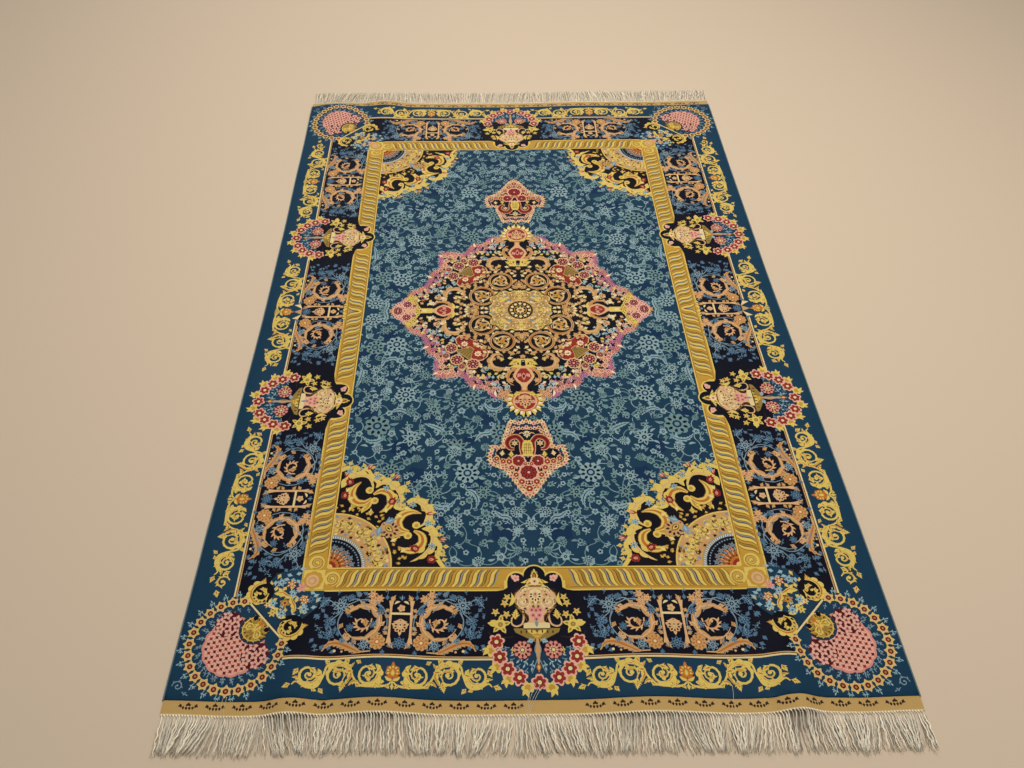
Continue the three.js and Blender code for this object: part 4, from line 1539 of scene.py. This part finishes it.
# %% [markdown]
# ## Materials
# Everything here is silk. What differs is how it stands: as cut pile it shows its fibre ends, which look
# deep and soft, as flat weave and as loose strands it shows its length, which shines. The shared effects
# are shader groups that give a colour, a roughness or a bump height; each material sets its own sheen.

# %% Group helpers
COLOUR, VECTOR, VALUE = "NodeSocketColor", "NodeSocketVector", "NodeSocketFloat"
MID_GREY = (0.5, 0.5, 0.5, 1)


def new_group(name, inputs, outputs):
    """An empty shader group with named sockets; inputs are (name, kind, default)."""
    group = bpy.data.node_groups.new(name, "ShaderNodeTree")
    for label, kind, default in inputs:
        socket = group.interface.new_socket(label, in_out="INPUT", socket_type=kind)
        if default is not None:
            socket.default_value = default
    for label, kind in outputs:
        group.interface.new_socket(label, in_out="OUTPUT", socket_type=kind)
    return group, group.nodes.new("NodeGroupInput").outputs, group.nodes.new("NodeGroupOutput").inputs


def feed(tree, socket, value):
    """Links a value from another node, or sets a plain one."""
    if isinstance(value, bpy.types.NodeSocket):
        tree.links.new(value, socket)
    else:
        socket.default_value = value


def node(tree, kind, values=None, **settings):
    """A node with its settings, and its inputs fed by name or number."""
    made = tree.nodes.new(kind)
    for key, value in settings.items():
        setattr(made, key, value)
    for key, value in (values or {}).items():
        feed(tree, made.inputs[key], value)
    return made


def maths(tree, operation, *values):
    return node(tree, "ShaderNodeMath", dict(enumerate(values)), operation=operation).outputs[0]


def noise(tree, vector, stretch, scale, detail=2.0):
    """Noise between 0 and 1 over plan millimetres, stretched along each axis."""
    mapped = node(tree, "ShaderNodeMapping", {"Vector": vector, "Scale": stretch})
    settings = {"Vector": mapped.outputs[0], "Scale": scale, "Detail": detail}
    return node(tree, "ShaderNodeTexNoise", settings).outputs[0]


def ridges(tree, along, pitch):
    """A sine wave, one turn to every pitch."""
    turns = maths(tree, "DIVIDE", along, pitch)
    return maths(tree, "SINE", maths(tree, "MULTIPLY", turns, 2 * math.pi))


def swayed(tree, base, value, amount):
    """The base, raised or lowered as the value leaves its middle of 0.5."""
    return maths(tree, "MULTIPLY_ADD", maths(tree, "SUBTRACT", value, 0.5), amount, base)


def shaded(tree, colour, amount):
    """The colour made lighter or darker by a factor around 1."""
    return node(tree, "ShaderNodeVectorMath", {0: colour, "Scale": amount}, operation="SCALE").outputs[0]


# %% [markdown]
# The pile group takes the dye and the plan position. Rows of knots give a fine grain, single dye lots give
# streaks along the wefts, and the nap, brushed this way and that, gives large soft clouds.

# %% Knotted pile group
pile_group, given, result = new_group(
    "Knotted silk pile",
    [("Dye", COLOUR, MID_GREY), ("Plan", VECTOR, None), ("Knot Pitch", VALUE, 1.3), ("Streaks", VALUE, 0.16),
     ("Nap Clouds", VALUE, 0.2)],
    [("Color", COLOUR), ("Roughness", VALUE), ("Height", VALUE)],
)
plan = given["Plan"]
across, along, upright = node(pile_group, "ShaderNodeSeparateXYZ", {0: plan}).outputs
knots = maths(pile_group, "MULTIPLY", ridges(pile_group, across, given["Knot Pitch"]),
              ridges(pile_group, along, given["Knot Pitch"]))
fibres = noise(pile_group, plan, (1, 1, 1), 0.9)
streaks = noise(pile_group, plan, (0.12, 4.0, 1), 0.045, 3)
nap = maths(pile_group, "SUBTRACT", noise(pile_group, plan, (1, 0.7, 1), 0.012), 0.5)
tone = swayed(pile_group, 1.0, streaks, given["Streaks"])
tone = maths(pile_group, "MULTIPLY_ADD", nap, given["Nap Clouds"], tone)
tone = swayed(pile_group, tone, fibres, 0.22)
tone = maths(pile_group, "MULTIPLY_ADD", knots, 0.05, tone)
feed(pile_group, result["Color"], shaded(pile_group, given["Dye"], tone))
feed(pile_group, result["Roughness"], maths(pile_group, "MULTIPLY_ADD", nap, -0.3, 0.62))
relief = maths(pile_group, "MULTIPLY_ADD", fibres, 0.8, maths(pile_group, "MULTIPLY", knots, 0.3))
feed(pile_group, result["Height"], relief)

# %% Flat weave group
weave_group, given, result = new_group(
    "Ribbed flat weave",
    [("Dye", COLOUR, MID_GREY), ("Plan", VECTOR, None), ("Rib Pitch", VALUE, 1.0)],
    [("Color", COLOUR), ("Height", VALUE)],
)
across, along, upright = node(weave_group, "ShaderNodeSeparateXYZ", {0: given["Plan"]}).outputs
ribs = ridges(weave_group, along, given["Rib Pitch"])
threads = noise(weave_group, given["Plan"], (1, 2, 1), 0.8)
tone = maths(weave_group, "MULTIPLY_ADD", ribs, 0.06, swayed(weave_group, 1.0, threads, 0.35))
feed(weave_group, result["Color"], shaded(weave_group, given["Dye"], tone))
feed(weave_group, result["Height"], maths(weave_group, "ADD", ribs, threads))

# %% Strand group
strand_group, given, result = new_group(
    "Silk strands",
    [("Dye", COLOUR, MID_GREY), ("Tone And Shade", VALUE, 0.5), ("Plan", VECTOR, None)],
    [("Color", COLOUR), ("Roughness", VALUE)],
)
along = noise(strand_group, given["Plan"], (1, 1, 1), 0.2)
# The tone input lightens or darkens each strand: tone that differs at random, and on the fringe painted
# shade on the strands that lie low.
tone = swayed(strand_group, maths(strand_group, "MULTIPLY_ADD", given["Tone And Shade"], 0.86, 0.26), along, 0.3)
feed(strand_group, result["Color"], shaded(strand_group, given["Dye"], tone))
feed(strand_group, result["Roughness"], maths(strand_group, "MULTIPLY_ADD", along, 0.25, 0.32))


# %% Silk materials
SHEEN_TINT = (0.86, 0.93, 1.0, 1)
RELIEF_HEIGHT = 0.0003  # metres


def silk(name, group, dye=None, bump=0.0, sheen=0.3, sheen_roughness=0.4, roughness=0.5, specular=0.4):
    """A Principled silk whose colour comes from a group; dye None reads each cell's own dye."""
    material = bpy.data.materials.new(name)
    material.use_nodes = True
    tree = material.node_tree
    shader = tree.nodes["Principled BSDF"].inputs
    effect = node(tree, "ShaderNodeGroup", node_tree=group)

    def carried(attribute):
        """What the mesh carries under this name."""
        return node(tree, "ShaderNodeAttribute", attribute_name=attribute).outputs

    feed(tree, effect.inputs["Plan"], carried("plan")["Vector"])
    feed(tree, effect.inputs["Dye"], carried("dye")["Color"] if dye is None else (*linear(dye), 1))
    if "Tone And Shade" in effect.inputs:
        feed(tree, effect.inputs["Tone And Shade"], carried("tone")["Fac"])
    feed(tree, shader["Base Color"], effect.outputs["Color"])
    has_roughness = "Roughness" in effect.outputs
    feed(tree, shader["Roughness"], effect.outputs["Roughness"] if has_roughness else roughness)
    if bump:
        relief = {"Height": effect.outputs["Height"], "Strength": bump, "Distance": RELIEF_HEIGHT}
        feed(tree, shader["Normal"], node(tree, "ShaderNodeBump", relief).outputs["Normal"])
    shader["Sheen Weight"].default_value = sheen
    shader["Sheen Roughness"].default_value = sheen_roughness
    shader["Sheen Tint"].default_value = SHEEN_TINT
    shader["Specular IOR Level"].default_value = specular
    return material


WARP_SILK = (250, 238, 212)
pile_silk = silk("silk pile", pile_group, None, 0.5, 0.05, 0.45, specular=0.08)
band_silk = silk("silk flat weave", weave_group, None, 0.6, 0.1, 0.4, 0.6, 0.25)
cord_silk = silk("silk overcast cord", weave_group, (92, 112, 112), 0.4, 0.3, 0.4, 0.5)
strand_silk = silk("silk warp strands", strand_group, WARP_SILK, 0, 0.05, 0.35, specular=0.25)
thread_silk = silk("loose silk thread", strand_group, (214, 202, 172), 0, 0.2, 0.35)
print("five silk materials on three shader groups")
# %% [markdown]
# ## The pile
# One quarter of the design becomes cells once, and is then mirrored for the other three, as the weaver
# does. Each quarter is a closed sheet: its shorn top carries the dyes, its rim slopes down a little at the
# outer edges, and a plain underside closes it. The rug could be one mesh; four keep each of them easy to
# handle.

# %% Quarter of the pile
EDGE_SLOPE = 1.6
CLOTH_STEP = 25
RIPPLE_STEP = 12.5
SLOPE_INSET = 2.2  # a row of points just inside the sloping rim


def net(low, high, step):
    """Points of a square net from one corner to the other."""
    return [complex(u, v) for u in np.arange(low.real, high.real, step)
            for v in np.arange(low.imag, high.imag, step)]


ripple_points = net(complex(6, 700), complex(675, 998), RIPPLE_STEP)
slope_run = np.arange(0, 672, 8.0)
slope_points = [complex(u, HALF_L - SLOPE_INSET) for u in slope_run]
slope_points += [complex(HALF_W - SLOPE_INSET, u) for u in slope_run * 1.485]
quarter_low, quarter_high = 0j, complex(HALF_W, HALF_L)
quarter_places, quarter_cells, quarter_dyes = overlay(design, quarter_low, quarter_high, CLOTH_STEP,
                                                      ripple_points + slope_points)
print("one quarter:", len(quarter_cells), "cells of", len(set(quarter_dyes.tolist())), "dyes")


def boundary_loop(cells):
    """The border of a triangulated sheet as one ring of point numbers, turning as the cells do."""
    pairs = np.concatenate([cells[:, [0, 1]], cells[:, [1, 2]], cells[:, [2, 0]]])
    size = cells.max() + 1
    key = pairs[:, 0].astype(np.int64) * size + pairs[:, 1]
    back = pairs[:, 1].astype(np.int64) * size + pairs[:, 0]
    after = dict(pairs[~np.isin(key, back)].tolist())
    start = next(iter(after))
    ring = [start]
    while after[ring[-1]] != start:
        ring.append(after[ring[-1]])
    return ring


def closed_sheet(name, places, cells, cell_dyes, to_plan, thick, inner, material, back, slopes=None):
    """A mesh with a dyed top, plain walls and a plain underside, laid on the floor.
    to_plan turns the design's places into the rug's x and y, inner are points for the underside, back is
    its dye, and slopes gives how far each point of the top is let down."""
    flipped = np.linalg.det([to_plan(1+0j) - to_plan(0j), to_plan(1j) - to_plan(0j)]) < 0
    cells = cells[:, ::-1] if flipped else cells
    x, y = to_plan(places).T
    ring = boundary_loop(cells)
    flat = [Vector((p.real, p.imag)) for p in [*places[ring], *inner]]
    pairs = [(k, (k + 1) % len(ring)) for k in range(len(ring))]
    under = delaunay_2d_cdt(flat, pairs, [], 1, 1e-6, True)
    under_places = np.array([complex(*p) for p in under[0]])
    under_cells = np.array(under[2])[:, ::-1]
    below = {one: number for number, given in enumerate(under[3]) for one in given}
    if flipped:
        under_cells = under_cells[:, ::-1]
    top_above = np.full(len(places), float(thick)) - (slopes if slopes is not None else 0)
    top = laid(x, y, top_above)
    ux, uy = to_plan(under_places).T
    bottom = laid(ux, uy, 0.05)
    base = len(top)
    walls = []
    for k in range(len(ring)):
        ahead = (k + 1) % len(ring)
        walls.append((ring[ahead], ring[k], base + below[k], base + below[ahead]))
    mesh = bpy.data.meshes.new(name)
    faces = cells.tolist() + walls + (under_cells + base).tolist()
    mesh.from_pydata(np.concatenate([top, bottom]).tolist(), [], faces)
    rim_dyes = np.full(len(walls) + len(under_cells), DYE_NAMES.index(back))
    dye_colours = np.array([(*linear(DYES[dye]), 1) for dye in DYE_NAMES])
    colours = dye_colours[np.concatenate([cell_dyes, rim_dyes])]
    mesh.attributes.new("dye", "FLOAT_COLOR", "FACE").data.foreach_set("color", colours.ravel())
    plan_at = np.concatenate([np.stack([x, y, x * 0], 1), np.stack([ux, uy, ux * 0], 1)])
    mesh.attributes.new("plan", "FLOAT_VECTOR", "POINT").data.foreach_set("vector", plan_at.ravel())
    add_top_map(mesh, plan_at)
    mesh.polygons.foreach_set("use_smooth", [True] * len(faces))
    sharp = mesh.attributes.new("sharp_edge", "BOOLEAN", "EDGE")
    creased = ring if slopes is None else [k for k in ring if slopes[k] == 0]
    on_rim = np.zeros(len(plan_at), dtype=bool)
    on_rim[creased] = True
    ends = np.empty(len(mesh.edges) * 2, dtype=np.int32)
    mesh.edges.foreach_get("vertices", ends)
    ends = ends.reshape(-1, 2)
    ringed = np.zeros(len(plan_at), dtype=bool)
    ringed[ring] = True
    edge_is_rim = on_rim[ends].any(axis=1) & ringed[ends].all(axis=1)
    sharp.data.foreach_set("value", edge_is_rim)
    mesh.materials.append(material)
    piece = bpy.data.objects.new(name, mesh)
    scene.collection.objects.link(piece)
    return piece


def add_top_map(mesh, plan_at):
    """A map of the piece seen straight from above, which fills the square."""
    low, high = plan_at[:, :2].min(axis=0), plan_at[:, :2].max(axis=0)
    unit = (plan_at[:, :2] - low) / (high - low)
    corners = np.empty(len(mesh.loops), dtype=np.int32)
    mesh.loops.foreach_get("vertex_index", corners)
    layer = mesh.uv_layers.new(name="OFBake")
    layer.uv.foreach_set("vector", unit[corners].ravel())


# %% Four quarters
def quarter_to_plan(side, end):
    def to_plan(place):
        place = np.asarray(place)
        return np.stack([place.real * side, place.imag * end], axis=-1)
    return to_plan


outer = np.maximum(quarter_places.real - (HALF_W - EDGE_SLOPE),
                   quarter_places.imag - (HALF_L - EDGE_SLOPE))
let_down = np.clip(outer / EDGE_SLOPE, 0, 1) ** 2 * 0.9
under_points = net(complex(20, 20), complex(660, 690), 45) + net(complex(8, 700), complex(668, 992), 14)
pile_pieces = []
for end, end_name in ((-1, "near"), (1, "far")):
    for side, side_name in ((-1, "left"), (1, "right")):
        piece = closed_sheet(f"pile_{end_name}_{side_name}", quarter_places, quarter_cells, quarter_dyes,
                             quarter_to_plan(side, end), PILE_THICK, under_points, pile_silk, "strip",
                             let_down)
        pile_pieces.append(piece)
print("pile:", sum(len(p.data.polygons) for p in pile_pieces), "faces in", len(pile_pieces), "pieces")
# %% [markdown]
# ## The end bands
# Past the pile the weaver goes on for a finger's width without knots. This flat band of ochre silk keeps
# the pile from sliding off, and carries a row of small dark sprigs. Its last passes are cream like the
# warp.

# %% Band design
SPRIG_PITCH = 48.3
SPRIG_ROWS = 27
BARE_PLACE = (-27, 47)


def band_sprig():
    motif = []
    for lean in (-46, 0, 46):
        motif += moved(paint(leaf(7.2, 4.4, points=2), "bark"), 9.5j - lean * 0.1, lean + 180)
    for across in (-8.6, -2.9, 2.9, 8.6):
        motif += paint(leaf(6.4, 4.8, points=2) + across + (10.5 - abs(across) * 0.12) * 1j, "bark")
    motif += pair(paint(leaf(9, 4.2, 0.8, 3), "bark"), 12+13j, -150)
    motif += pair(paint(leaf(6, 3.8, points=2), "bark"), 13+8j, -60)
    return motif


def band_design(bare):
    """A band seen flat: across the rug, and outwards from the pile."""
    shapes = paint(box_shape(-HALF_W - 1j, HALF_W + 1j * (BAND_WIDTH + 1)), "band")
    shapes += paint(box_shape(-HALF_W + 23.6j, HALF_W + 1j * (BAND_WIDTH + 1)), "cream")
    for k in range(SPRIG_ROWS):
        across = (k - (SPRIG_ROWS - 1) / 2) * SPRIG_PITCH
        if bare and BARE_PLACE[0] - 14 < across < BARE_PLACE[1] + 14:
            continue
        shapes += moved(band_sprig(), across, flip=bool(k % 2))
    return shapes


def band_to_plan(end):
    def to_plan(place):
        place = np.asarray(place)
        return np.stack([place.real, (HALF_L + place.imag) * end], axis=-1)
    return to_plan


band_net = net(complex(-HALF_W + 5, 6), complex(HALF_W - 5, BAND_WIDTH - 2), 8)
band_pieces = []
for end, end_name in ((-1, "near"), (1, "far")):
    cut = overlay(band_design(end < 0), complex(-HALF_W, 0), complex(HALF_W, BAND_WIDTH), 9)
    piece = closed_sheet(f"flat_band_{end_name}", *cut, band_to_plan(end), BAND_THICK, band_net,
                         band_silk, "band")
    band_pieces.append(piece)
print("bands:", [len(p.data.polygons) for p in band_pieces], "faces")

# %% [markdown]
# ## Side cords
# Along each side the outermost warps are wrapped with grey-blue silk into a firm cord. Each wrap is a
# little ridge, so the cord is a tube whose radius swells and shrinks along its length.

# %% Tubes
def tubes(name, paths, radii, sides, material, tones_and_shade):
    """Closed round threads. paths is threads x rings x 3 in metres, radii threads x rings in metres."""
    threads, rings = paths.shape[:2]
    along = np.gradient(paths, axis=1)
    along /= np.linalg.norm(along, axis=-1, keepdims=True)
    beside = np.cross(along, [0, 0, 1.0])
    beside /= np.linalg.norm(beside, axis=-1, keepdims=True)
    above = np.cross(beside, along)
    angle = (np.arange(sides) + 0.5) * 2 * math.pi / sides
    round_offset = (beside[:, :, None] * np.cos(angle)[:, None]
                    + above[:, :, None] * np.sin(angle)[:, None])
    points = paths[:, :, None] + round_offset * radii[:, :, None, None]
    number = np.arange(threads * rings * sides).reshape(threads, rings, sides)
    ahead = np.roll(number, -1, axis=2)
    skin = np.stack([number[:, 1:], ahead[:, 1:], ahead[:, :-1], number[:, :-1]], axis=-1).reshape(-1, 4)
    caps = np.concatenate([number[:, 0], number[:, -1, ::-1]])
    mesh = bpy.data.meshes.new(name)
    mesh.from_pydata(points.reshape(-1, 3).tolist(), [], skin.tolist() + caps.tolist())
    mesh.polygons.foreach_set("use_smooth", [True] * len(mesh.polygons))
    # Each thread's tone goes to all its points; on the fringe it holds painted shade as well as random tone.
    per_point = np.repeat(tones_and_shade, rings * sides)
    mesh.attributes.new("tone", "FLOAT", "POINT").data.foreach_set("value", per_point)
    plan_at = points.reshape(-1, 3) / TO_METRES
    mesh.attributes.new("plan", "FLOAT_VECTOR", "POINT").data.foreach_set("vector", plan_at.ravel())
    mesh.materials.append(material)
    piece = bpy.data.objects.new(name, mesh)
    scene.collection.objects.link(piece)
    return piece


WRAP_PITCH = 3.4
cord_pieces = []
for side, side_name in ((-1, "left"), (1, "right")):
    length = HALF_L + 1
    wraps = round(2 * length / WRAP_PITCH)
    along = np.linspace(-length, length, wraps * 2 + 1)
    x = np.full(len(along), side * (HALF_W + 0.2))
    swell = np.where(np.arange(len(along)) % 2 == 1, 1.72, 1.42)
    path = laid(x, along, 1.78)[None]
    cord = tubes(f"side_cord_{side_name}", path, swell[None] * TO_METRES, 6, cord_silk, np.array([0.5]))
    cord_pieces.append(cord)
print("side cords with", wraps, "wraps each")

# %% [markdown]
# ## Edge knots and fringe
# At the band's outer edge the warps leave the cloth in groups, each held by a small knot, and run on as a
# fringe. Every group starts as one twisted root and opens into fine strands, which fall to the floor, lean
# over each other and end unevenly. Hair particles would do, but plain tubes keep every strand in its place.

# The strands that lie low are painted darker, as painted shade under the higher ones.
# %% Fringe shape
ROOT_PITCH = 5.3
LOCK_ROOTS = 3.2  # how many groups lean together in a lock, on average
LEAN_WAVES = [  # wavelength along the edge, amplitude in millimetres, start
    (610, 5.0, 0.4),
    (236, 4.5, 2.1),
    (93, 3.5, 4.0),
    (41, 2.2, 1.3),
]
SWEEPS = {  # end: where bundles are swept aside: middle, half width, sideways lean
    -1: [(-592, 26, -22), (-470, 22, 16), (-362, 14, -20), (-238, 20, 14), (-96, 18, -16), (36, 24, 18),
         (158, 16, -18), (262, 26, 12), (372, 15, -22), (498, 24, 16), (610, 22, 20)],
    1: [(-560, 40, 14), (-310, 30, -16), (20, 36, 14), (330, 30, -16), (560, 36, 12)],
}
EDGE_HEIGHT = 0.75
STAYS_IN_GROUP = 0.6  # the share of strands that lie close together


def bundle_lean(end, x):
    lean = sum(size * np.sin(2 * math.pi * x / wave + start + end) for wave, size, start in LEAN_WAVES)
    for middle, half, sideways in SWEEPS[end]:
        lean = lean + sideways * np.exp(-((x - middle) / half) ** 2)
    return lean


def fringe(end, end_name, strands_each, rings, sides, thick):
    """All strands of one end. Most stay in their group, the others stray across their neighbours."""
    chance = np.random.default_rng(7 if end < 0 else 8)
    roots = np.arange(-HALF_W + 3.5, HALF_W - 3, ROOT_PITCH)
    groups = len(roots)
    count = groups * strands_each
    roots = roots + chance.uniform(-0.3, 0.3, groups)

    def shared(values):
        """One value of each group, for all of its strands."""
        return np.repeat(values, strands_each)

    x0 = shared(roots)
    astray = np.tile(np.arange(strands_each) >= strands_each * STAYS_IN_GROUP, groups)
    own = chance.uniform(-0.5, 0.5, count)
    lock = np.cumsum(chance.random(groups) < 1 / LOCK_ROOTS)
    lock_middle = np.array([roots[lock == k].mean() for k in lock])
    lock_lean = chance.normal(0, 3.0, lock.max() + 1)[lock]
    pulled = bundle_lean(end, roots) + lock_lean + 0.25 * (lock_middle - roots)
    pulled = pulled + chance.normal(0, 1.8, groups) + chance.normal(0, 2.5, groups)
    lean = shared(pulled) + chance.normal(0, 1, count) * np.where(astray, 9, 0.8)
    group_layer = shared(chance.random(groups))
    layer = np.where(astray, 0.5 * chance.random(count), 0.5 + 0.5 * group_layer)
    wild = chance.random(count) < 0.05
    lean = np.where(wild, lean + chance.normal(0, 16, count), lean)[:, None]
    length = shared(chance.uniform(0.88, 0.99, groups)) * chance.uniform(0.9, 1.0, count) * FRINGE_LENGTH
    t = np.linspace(0, 1, rings) ** 1.15
    out = t[None] * length[:, None]
    spread = smooth((out - 4) / 22)
    slant = shared(chance.normal(2.2, 0.7, groups))[:, None]
    start = np.where(astray, chance.uniform(0, 6.3, count), shared(chance.uniform(0, 6.3, groups)))[:, None]
    wave_length = np.where(astray, chance.uniform(12, 24, count), 20)[:, None]
    wave = (0.6 + 0.9 * group_layer)[:, None] * np.sin(out / wave_length * 2 * math.pi + start)
    opened = own[:, None] * (1.5 + np.where(astray, 4.6, 0.9)[:, None] * spread)
    x = x0[:, None] + slant * smooth(out / 6) + opened
    x = x + lean * (out / FRINGE_LENGTH) ** 1.5 + wave * spread
    x = np.clip(x, -HALF_W + 1, HALF_W - 1)
    y = end * (HALF_L + BAND_WIDTH + 0.1 + out * (1 - 0.5 * (lean / 90) ** 2))
    edge_lift = lift_at(x0, np.full(count, end * (HALF_L + BAND_WIDTH)))[:, None]
    fall = 1 - smooth(out / STRAND_FALL)
    resting = thick * 1.1 + (4.2 * layer**1.5)[:, None] * spread
    resting = resting + 0.6 * np.abs(np.sin(out / 13 + chance.uniform(0, 6.3, count)[:, None])) * spread
    bunch = np.tile(0.45 * np.cos(np.arange(strands_each) * 2.4), groups)[:, None] * (1 - spread)
    height = (edge_lift + EDGE_HEIGHT + bunch) * fall + resting * (1 - fall)
    height = np.maximum(height, thick * 1.05)
    outward = read_table(END_WANDER[end], x0)[:, None]
    paths = np.stack([x * (1 - draw_in(x, y) / HALF_W), y + end * outward, height], axis=-1) * TO_METRES
    taper = 1.0 + 0.35 * (1 - spread) - 0.45 * smooth((t[None] - 0.8) / 0.2)
    radii = thick * taper * chance.uniform(0.85, 1.15, count)[:, None] * TO_METRES
    # Painted shade: the strays, which lie low under the groups, are made dark, and each group is made
    # lighter the higher it lies; within that the tone differs at random.
    tones_and_shade = np.where(astray, 0.5 * chance.random(count) ** 1.5, 0.62 + 0.4 * group_layer)
    return tubes(f"warp_fringe_{end_name}", paths, radii, sides, strand_silk, tones_and_shade)


def edge_knots(end, end_name):
    """A slanted knot over each group of warps at the band's outer edge."""
    chance = np.random.default_rng(17 if end < 0 else 18)
    roots = np.arange(-HALF_W + 3, HALF_W - 2, ROOT_PITCH)
    t = np.linspace(-1, 1, 5)
    x = roots[:, None] + 1.1 * t + chance.uniform(-0.2, 0.2, (len(roots), 1))
    y = end * (HALF_L + BAND_WIDTH + 0.6 + 2.2 * t[None] + chance.uniform(-0.3, 0.3, (len(roots), 1)))
    paths = laid(x, y, BAND_THICK * 0.5 + 0.75 * (1 - t[None] ** 2))
    radii = (0.5 + 1.0 * np.sqrt(np.maximum(0, 1 - t**2)))[None] * np.ones((len(roots), 1)) * TO_METRES
    tones_and_shade = 0.75 + 0.3 * chance.random(len(roots))
    return tubes(f"edge_knots_{end_name}", paths, radii, 5, strand_silk, tones_and_shade)


fringe_near = fringe(-1, "near", 10, 10, 4, 0.38)
fringe_far = fringe(1, "far", 9, 7, 3, 0.44)
knot_pieces = [edge_knots(-1, "near"), edge_knots(1, "far")]
print("fringe faces", len(fringe_near.data.polygons), len(fringe_far.data.polygons))

# %% [markdown]
# ## Loose threads
# A few long warp ends have strayed back over the band and the pile, as they do on a rug that was just
# unrolled: a tuft near the middle of the near end, some single threads, and one tuft at the far end.

# %% Strayed threads
STRAYS = [  # across and along at the start, the middle and the end
    [(-27, -1042), (-24, -1005), (-6, -968)],
    [(-25, -1040), (-20, -1000), (2, -972)],
    [(-29, -1038), (-26, -1002), (-12, -964)],
    [(-22, -1036), (-16, -996), (8, -976)],
    [(-24, -1044), (-27, -1010), (-16, -976)],
    [(-566, -1036), (-569, -1010), (-567, -988)],
    [(-561, -1034), (-563, -1012), (-562, -992)],
    [(343, -1034), (341, -1006), (345, -976)],
    [(-108, -1032), (-98, -1020), (-86, -1008)],
    [(-52, -1032), (-46, -1018), (-34, -1010)],
    [(-196, -1034), (-201, -1020), (-188, -1010)],
    [(120, -1030), (128, -1016), (122, -1004)],
    [(498, 1044), (492, 1002), (502, 966)],
    [(500, 1040), (497, 1000), (486, 972)],
    [(494, 1042), (499, 1006), (508, 978)],
]
stray_paths = []
for k, (first, middle, last) in enumerate(STRAYS):
    t = np.linspace(0, 1, 12)
    x = (1 - t) ** 2 * first[0] + 2 * t * (1 - t) * middle[0] + t**2 * last[0] + 0.8 * np.sin(9 * t + k)
    y = (1 - t) ** 2 * first[1] + 2 * t * (1 - t) * middle[1] + t**2 * last[1]
    over = np.where(np.abs(y) > HALF_L + BAND_WIDTH, 2.2,
                    np.where(np.abs(y) > HALF_L, BAND_THICK, PILE_THICK))
    over = np.convolve(np.pad(over, 1, mode="edge"), [0.25, 0.5, 0.25], mode="valid")
    stray_paths.append(laid(x, y, np.maximum(over, BAND_THICK) + 0.9 + 0.5 * np.sin(5 * t + k) ** 2))
stray_paths = np.array(stray_paths)
stray_radii = np.full(stray_paths.shape[:2], 0.36 * TO_METRES)
stray_tones = np.full(len(STRAYS), 0.95)
strays = tubes("loose_threads", stray_paths, stray_radii, 4, thread_silk, stray_tones)
print(len(STRAYS), "strayed threads")
# %% [markdown]
# ## Floor and light
# A plain pale floor, and soft studio light: a large light overhead, a low one beyond the far end that makes
# the nap shine towards the camera, a weak fill from the side, and a quiet cool world.

# %% Floor and lights
def plain(name, colour, roughness):
    material = bpy.data.materials.new(name)
    material.use_nodes = True
    shader = material.node_tree.nodes["Principled BSDF"]
    shader.inputs["Base Color"].default_value = (*linear(colour), 1)
    shader.inputs["Roughness"].default_value = roughness
    return material


floor_mesh = bpy.data.meshes.new("floor")
FLOOR_REACH = 12  # metres to each side
floor_corners = [(x * FLOOR_REACH, y * FLOOR_REACH, 0) for x, y in ((-1, -1), (1, -1), (1, 1), (-1, 1))]
floor_mesh.from_pydata(floor_corners, [], [(0, 1, 2, 3)])
floor_mesh.materials.append(plain("pale floor", (216, 194, 166), 0.9))
floor = bpy.data.objects.new("floor", floor_mesh)
scene.collection.objects.link(floor)


def area_light(name, place, aim, size, watts, colour=(1, 1, 1)):
    data = bpy.data.lights.new(name, "AREA")
    data.shape = "RECTANGLE"
    data.size, data.size_y = size
    data.energy = watts
    data.color = colour
    lamp = bpy.data.objects.new(name, data)
    scene.collection.objects.link(lamp)
    lamp.location = place
    lamp.rotation_euler = (Vector(aim) - Vector(place)).to_track_quat("-Z", "Y").to_euler()
    return lamp


area_light("overhead light", (0.3, 0.4, 3.0), (0, 0, 0), (2.0, 2.2), 66, (1.0, 0.97, 0.92))
area_light("far light", (-0.4, 3.6, 2.6), (0, 0.3, 0), (3.0, 1.2), 48, (1.0, 0.98, 0.95))
area_light("side fill", (2.6, -1.4, 2.2), (0, -0.2, 0), (1.8, 1.8), 8)
world = bpy.data.worlds.new("studio")
world.use_nodes = True
world.node_tree.nodes["Background"].inputs["Color"].default_value = (0.9, 0.93, 1.0, 1)
world.node_tree.nodes["Background"].inputs["Strength"].default_value = 0.24
scene.world = world
scene.view_settings.view_transform = "Standard"  # the dyes then look as in the dye table

# %% [markdown]
# ## Hand-over
# The fine pieces ride on the rug's one body and stand for its CAD parts, which are hidden.

# %% Pieces on the frame
def hand_over(piece, cad_name):
    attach(piece, "root")
    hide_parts(cad_name)


for piece in pile_pieces + band_pieces + cord_pieces:
    hand_over(piece, "rug_body")
for piece in (fringe_near, knot_pieces[0], strays):
    hand_over(piece, "fringe_near")
for piece in (fringe_far, knot_pieces[1]):
    hand_over(piece, "fringe_far")
